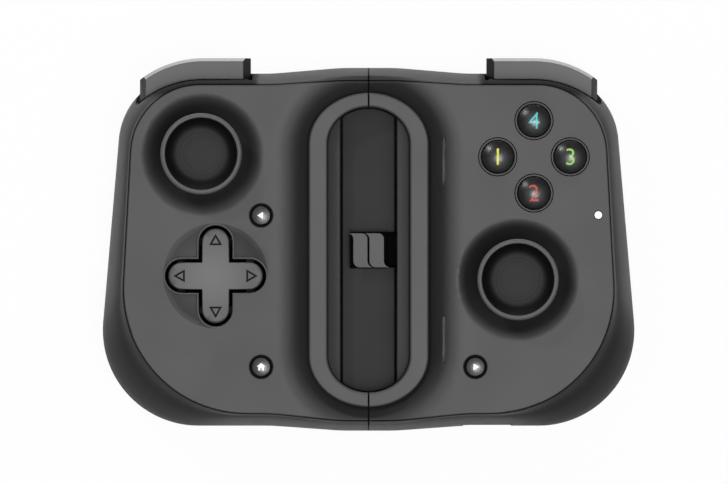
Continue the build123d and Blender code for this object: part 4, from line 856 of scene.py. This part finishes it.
def makeRibbon():
    low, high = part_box("flex_cable")
    inset = ribbonShape["thick"] / 2
    span, rise = high.x - low.x - 2 * inset, (high.z - low.z) / 2 - inset
    count = ribbonShape["folds"] * ribbonShape["steps"]
    bm = bmesh.new()
    verts = []
    for i in range(count + 1):
        wave = -math.cos(math.pi * i / ribbonShape["steps"])
        flat = math.copysign(abs(wave) ** (1 / ribbonShape["sharp"]), wave)
        verts.append(bm.verts.new((low.x + inset + span * i / count, low.y,
                                   (low.z + high.z) / 2 + rise * flat)))
    edges = [bm.edges.new(pair) for pair in zip(verts, verts[1:])]
    grown = bmesh.ops.extrude_edge_only(bm, edges=edges)
    far = [g for g in grown["geom"] if isinstance(g, bmesh.types.BMVert)]
    bmesh.ops.translate(bm, verts=far, vec=(0, high.y - low.y, 0))
    bmesh.ops.recalc_face_normals(bm, faces=bm.faces)
    for face in bm.faces:
        face.smooth = True
    piece = addPiece("folded_ribbon", bm, [ribbonFinish], "bridge")
    wall = piece.modifiers.new("thickness", "SOLIDIFY")
    wall.thickness, wall.offset = ribbonShape["thick"], 0
    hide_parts("flex_cable")


makeRibbon()
print("ribbon folded")


# Dust cap over the plug: two soft leaves, folded in an S like a fan, on a dark base. Each leaf lies
# between two of the bends. Places in millimetres.
leafShape = {"bends": (-4.24, -0.05, 4.24), "top": 3.33, "foot": -6.07, "topArc": 1.5,
             "footArc": 1.7, "arcSteps": 6, "gap": 0.24, "low": 25.45, "high": 25.95,
             "round": 0.12 * mm,
             "base": {"out": (-4.6, 4.75), "low": 24.85, "high": 25.45, "round": 0.1 * mm}}


def bendLine(out, gap):
    # one S-shaped bend from the top edge to the foot
    top, foot, steps = leafShape["top"] - gap, leafShape["foot"] + gap, leafShape["arcSteps"]
    line = []
    reach = leafShape["topArc"]
    for i in range(steps + 1):
        turn = math.pi / 2 * (1 - i / steps)
        line.append((out - reach + reach * math.cos(turn), top - reach + reach * math.sin(turn)))
    reach = leafShape["footArc"]
    for i in range(steps + 1):
        turn = math.pi / 2 * i / steps
        line.append((out + reach - reach * math.cos(turn), foot + reach - reach * math.sin(turn)))
    return line


def raisedPlate(outline, low, high, rounding, material):
    # a closed plate over a flat outline, with its upper edge rounded
    bm = bmesh.new()
    bm.faces.new([bm.verts.new((x * mm, y * mm, low * mm)) for x, y in outline])
    bmesh.ops.translate(bm, verts=extruded(bm), vec=(0, 0, (high - low) * mm))
    bmesh.ops.recalc_face_normals(bm, faces=bm.faces)
    edges = [e for e in bm.edges if all(v.co.z > (low + high) / 2 * mm for v in e.verts)]
    bmesh.ops.bevel(bm, geom=edges, offset=rounding, segments=3, profile=0.5, affect="EDGES",
                    material=-1)
    for face in bm.faces:
        face.smooth, face.material_index = True, material
    return bm


def makePlugCap():
    bends, gap = leafShape["bends"], leafShape["gap"]
    plates = []
    for left, right in zip(bends, bends[1:]):
        outline = bendLine(left + gap, gap) + bendLine(right - gap, gap)[::-1]
        plates.append(raisedPlate(outline, leafShape["low"], leafShape["high"],
                                  leafShape["round"], 0))
    base = leafShape["base"]
    (west, east), top, foot = base["out"], leafShape["top"], leafShape["foot"]
    corners = [(west, top), (west, foot), (east, foot), (east, top)]
    plates.append(raisedPlate(corners, base["low"], base["high"], base["round"], 1))
    bm = bmesh.new()
    for plate in plates:
        addShape(bm, plate)
    piece = addPiece("plug_cap", bm, [leafRubber, bootRubber], "right_half")
    splitEdges(piece, smoothing["soft"])


makePlugCap()
print("plug cap laid")


# Elastic straps: ribbed woven band, stretched between the bridge and each half.
strapShape = {"rib": 1.0 * mm, "ribHeight": 0.18 * mm, "edge": 0.3 * mm, "alongSteps": 60,
              "stepsPerRib": 4}


def makeStrap(side):
    name = side + "_strap"
    low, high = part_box(name)
    length, width, thick = high.x - low.x, high.y - low.y, high.z - low.z
    ribs = round(width / strapShape["rib"])
    bm = bmesh.new()
    grid = bmesh.ops.create_grid(bm, x_segments=strapShape["alongSteps"],
                                 y_segments=ribs * strapShape["stepsPerRib"], size=0.5)
    uv = bm.loops.layers.uv.new("weave")
    for face in bm.faces:
        face.smooth = True
        for loop in face.loops:
            # real lengths, so that the weave keeps its size
            loop[uv].uv = ((loop.vert.co.x + 0.5) * length, (loop.vert.co.y + 0.5) * width)
    for vert in grid["verts"]:
        across = vert.co.y * width
        ridge = 0.5 + 0.5 * math.cos(2 * math.pi * across / strapShape["rib"])
        vert.co = Vector(((low.x + high.x) / 2 + vert.co.x * length,
                          (low.y + high.y) / 2 + across,
                          high.z - strapShape["ribHeight"] * (1 - ridge)))
    for vert in extruded(bm):
        vert.co.z = low.z + (high.z - vert.co.z)
    bmesh.ops.recalc_face_normals(bm, faces=bm.faces)
    piece = addPiece(side + "_elastic", bm, [elasticFinish], None)
    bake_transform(piece)
    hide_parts(name)


for side in ("left", "right"):
    makeStrap(side)
print("straps woven")


# Pale floor. Seen by the camera it is white, and a little of the object's shadow stays on it.
floorLook = {"size": 12.0, "colour": "f4f4f4", "fibre": "f8f8f8", "grain": 40 * mm,
             "white": 0.95, "drop": 0.02 * mm}


def makeFloor():
    material, tree, shader, place = newMaterial("studio floor paper")
    fibre = addNode(tree, "TexNoise", {"Vector": place, "Scale": 1 / floorLook["grain"]})
    tone = addNode(tree, "Mix", {0: fibre, 6: floorLook["colour"], 7: floorLook["fibre"]},
                   data_type="RGBA")
    setInputs(tree, shader, {"Base Color": tone.outputs[2], "Roughness": 0.9})
    glow = addNode(tree, "Emission", {"Color": (1, 1, 1, 1), "Strength": 1.0})
    path = addNode(tree, "LightPath", {})
    seen = addNode(tree, "Math", {0: path.outputs["Is Camera Ray"], 1: floorLook["white"]},
                   operation="MULTIPLY")
    mix = addNode(tree, "MixShader", {0: seen, 1: shader, 2: glow})
    # from below the floor isn't there, so that the back of the gamepad can be looked at
    clear = addNode(tree, "BsdfTransparent", {})
    below = addNode(tree, "NewGeometry", {}).outputs["Backfacing"]
    both = addNode(tree, "MixShader", {0: below, 1: mix, 2: clear})
    setInputs(tree, tree.nodes["Material Output"], {"Surface": both})
    bm = bmesh.new()
    bmesh.ops.create_grid(bm, x_segments=1, y_segments=1, size=floorLook["size"])
    bmesh.ops.translate(bm, verts=bm.verts, vec=(0, 0, -floorLook["drop"]))
    floor = addPiece("studio_floor", bm, [material], None)


makeFloor()

# Studio light: a large soft box over the object, the main one high above it, a small one up and to
# the left that puts the glint on the keys, a low one behind, and a dim even surround.
studio = {
    "over": {"place": (0.1, -0.1, 1.0), "size": 1.4, "energy": 3.1},
    "key": {"place": (0.16, -0.14, 2.0), "size": 0.62, "energy": 19.0},
    "glint": {"place": (-0.5, 0.56, 0.9), "size": 0.12, "energy": 2.2},
    "behind": {"place": (0, 1.2, 0.14), "size": 1.2, "tall": 0.2, "energy": 8.0},
    "surround": 0.12, "aim": (0, 0, 0.02),
}


def addSoftBox(name, look):
    lamp = bpy.data.lights.new(name, "AREA")
    lamp.shape = "RECTANGLE" if "tall" in look else "DISK"
    lamp.size, lamp.size_y = look["size"], look.get("tall", look["size"])
    lamp.energy = look["energy"]
    box = bpy.data.objects.new(name, lamp)
    box.location = look["place"]
    aim = Vector(studio["aim"]) - box.location
    box.rotation_euler = aim.to_track_quat("-Z", "Y").to_euler()
    box.visible_camera = False
    bpy.context.scene.collection.objects.link(box)


for name in ("over", "key", "glint", "behind"):
    addSoftBox(name + " soft box", studio[name])

world = bpy.data.worlds.new("studio")
bpy.context.scene.world = world
world.use_nodes = True
sky = world.node_tree
path = addNode(sky, "LightPath", {})
strength = addNode(sky, "MapRange", {"Value": path.outputs["Is Camera Ray"],
                                     "To Min": studio["surround"], "To Max": 1.0})
setInputs(sky, sky.nodes["Background"], {"Color": (1, 1, 1, 1), "Strength": strength})

# Camera: straight down with a long lens, as the photograph is almost without perspective
view = {"middle": (-1.2 * mm, 0.8 * mm), "width": 189.6 * mm, "focus": 22 * mm, "lens": 500.0,
        "sensor": 36.0, "near": 0.05, "far": 200}
eye = bpy.data.cameras.new("camera")
eye.lens, eye.sensor_width = view["lens"], view["sensor"]
eye.clip_start, eye.clip_end = view["near"], view["far"]
camera = bpy.data.objects.new("camera", eye)
bpy.context.scene.collection.objects.link(camera)
camera.location = (*view["middle"], view["focus"] + view["width"] * view["lens"] / view["sensor"])
bpy.context.scene.camera = camera
bpy.context.scene.view_settings.view_transform = "Standard"
print("studio set up")
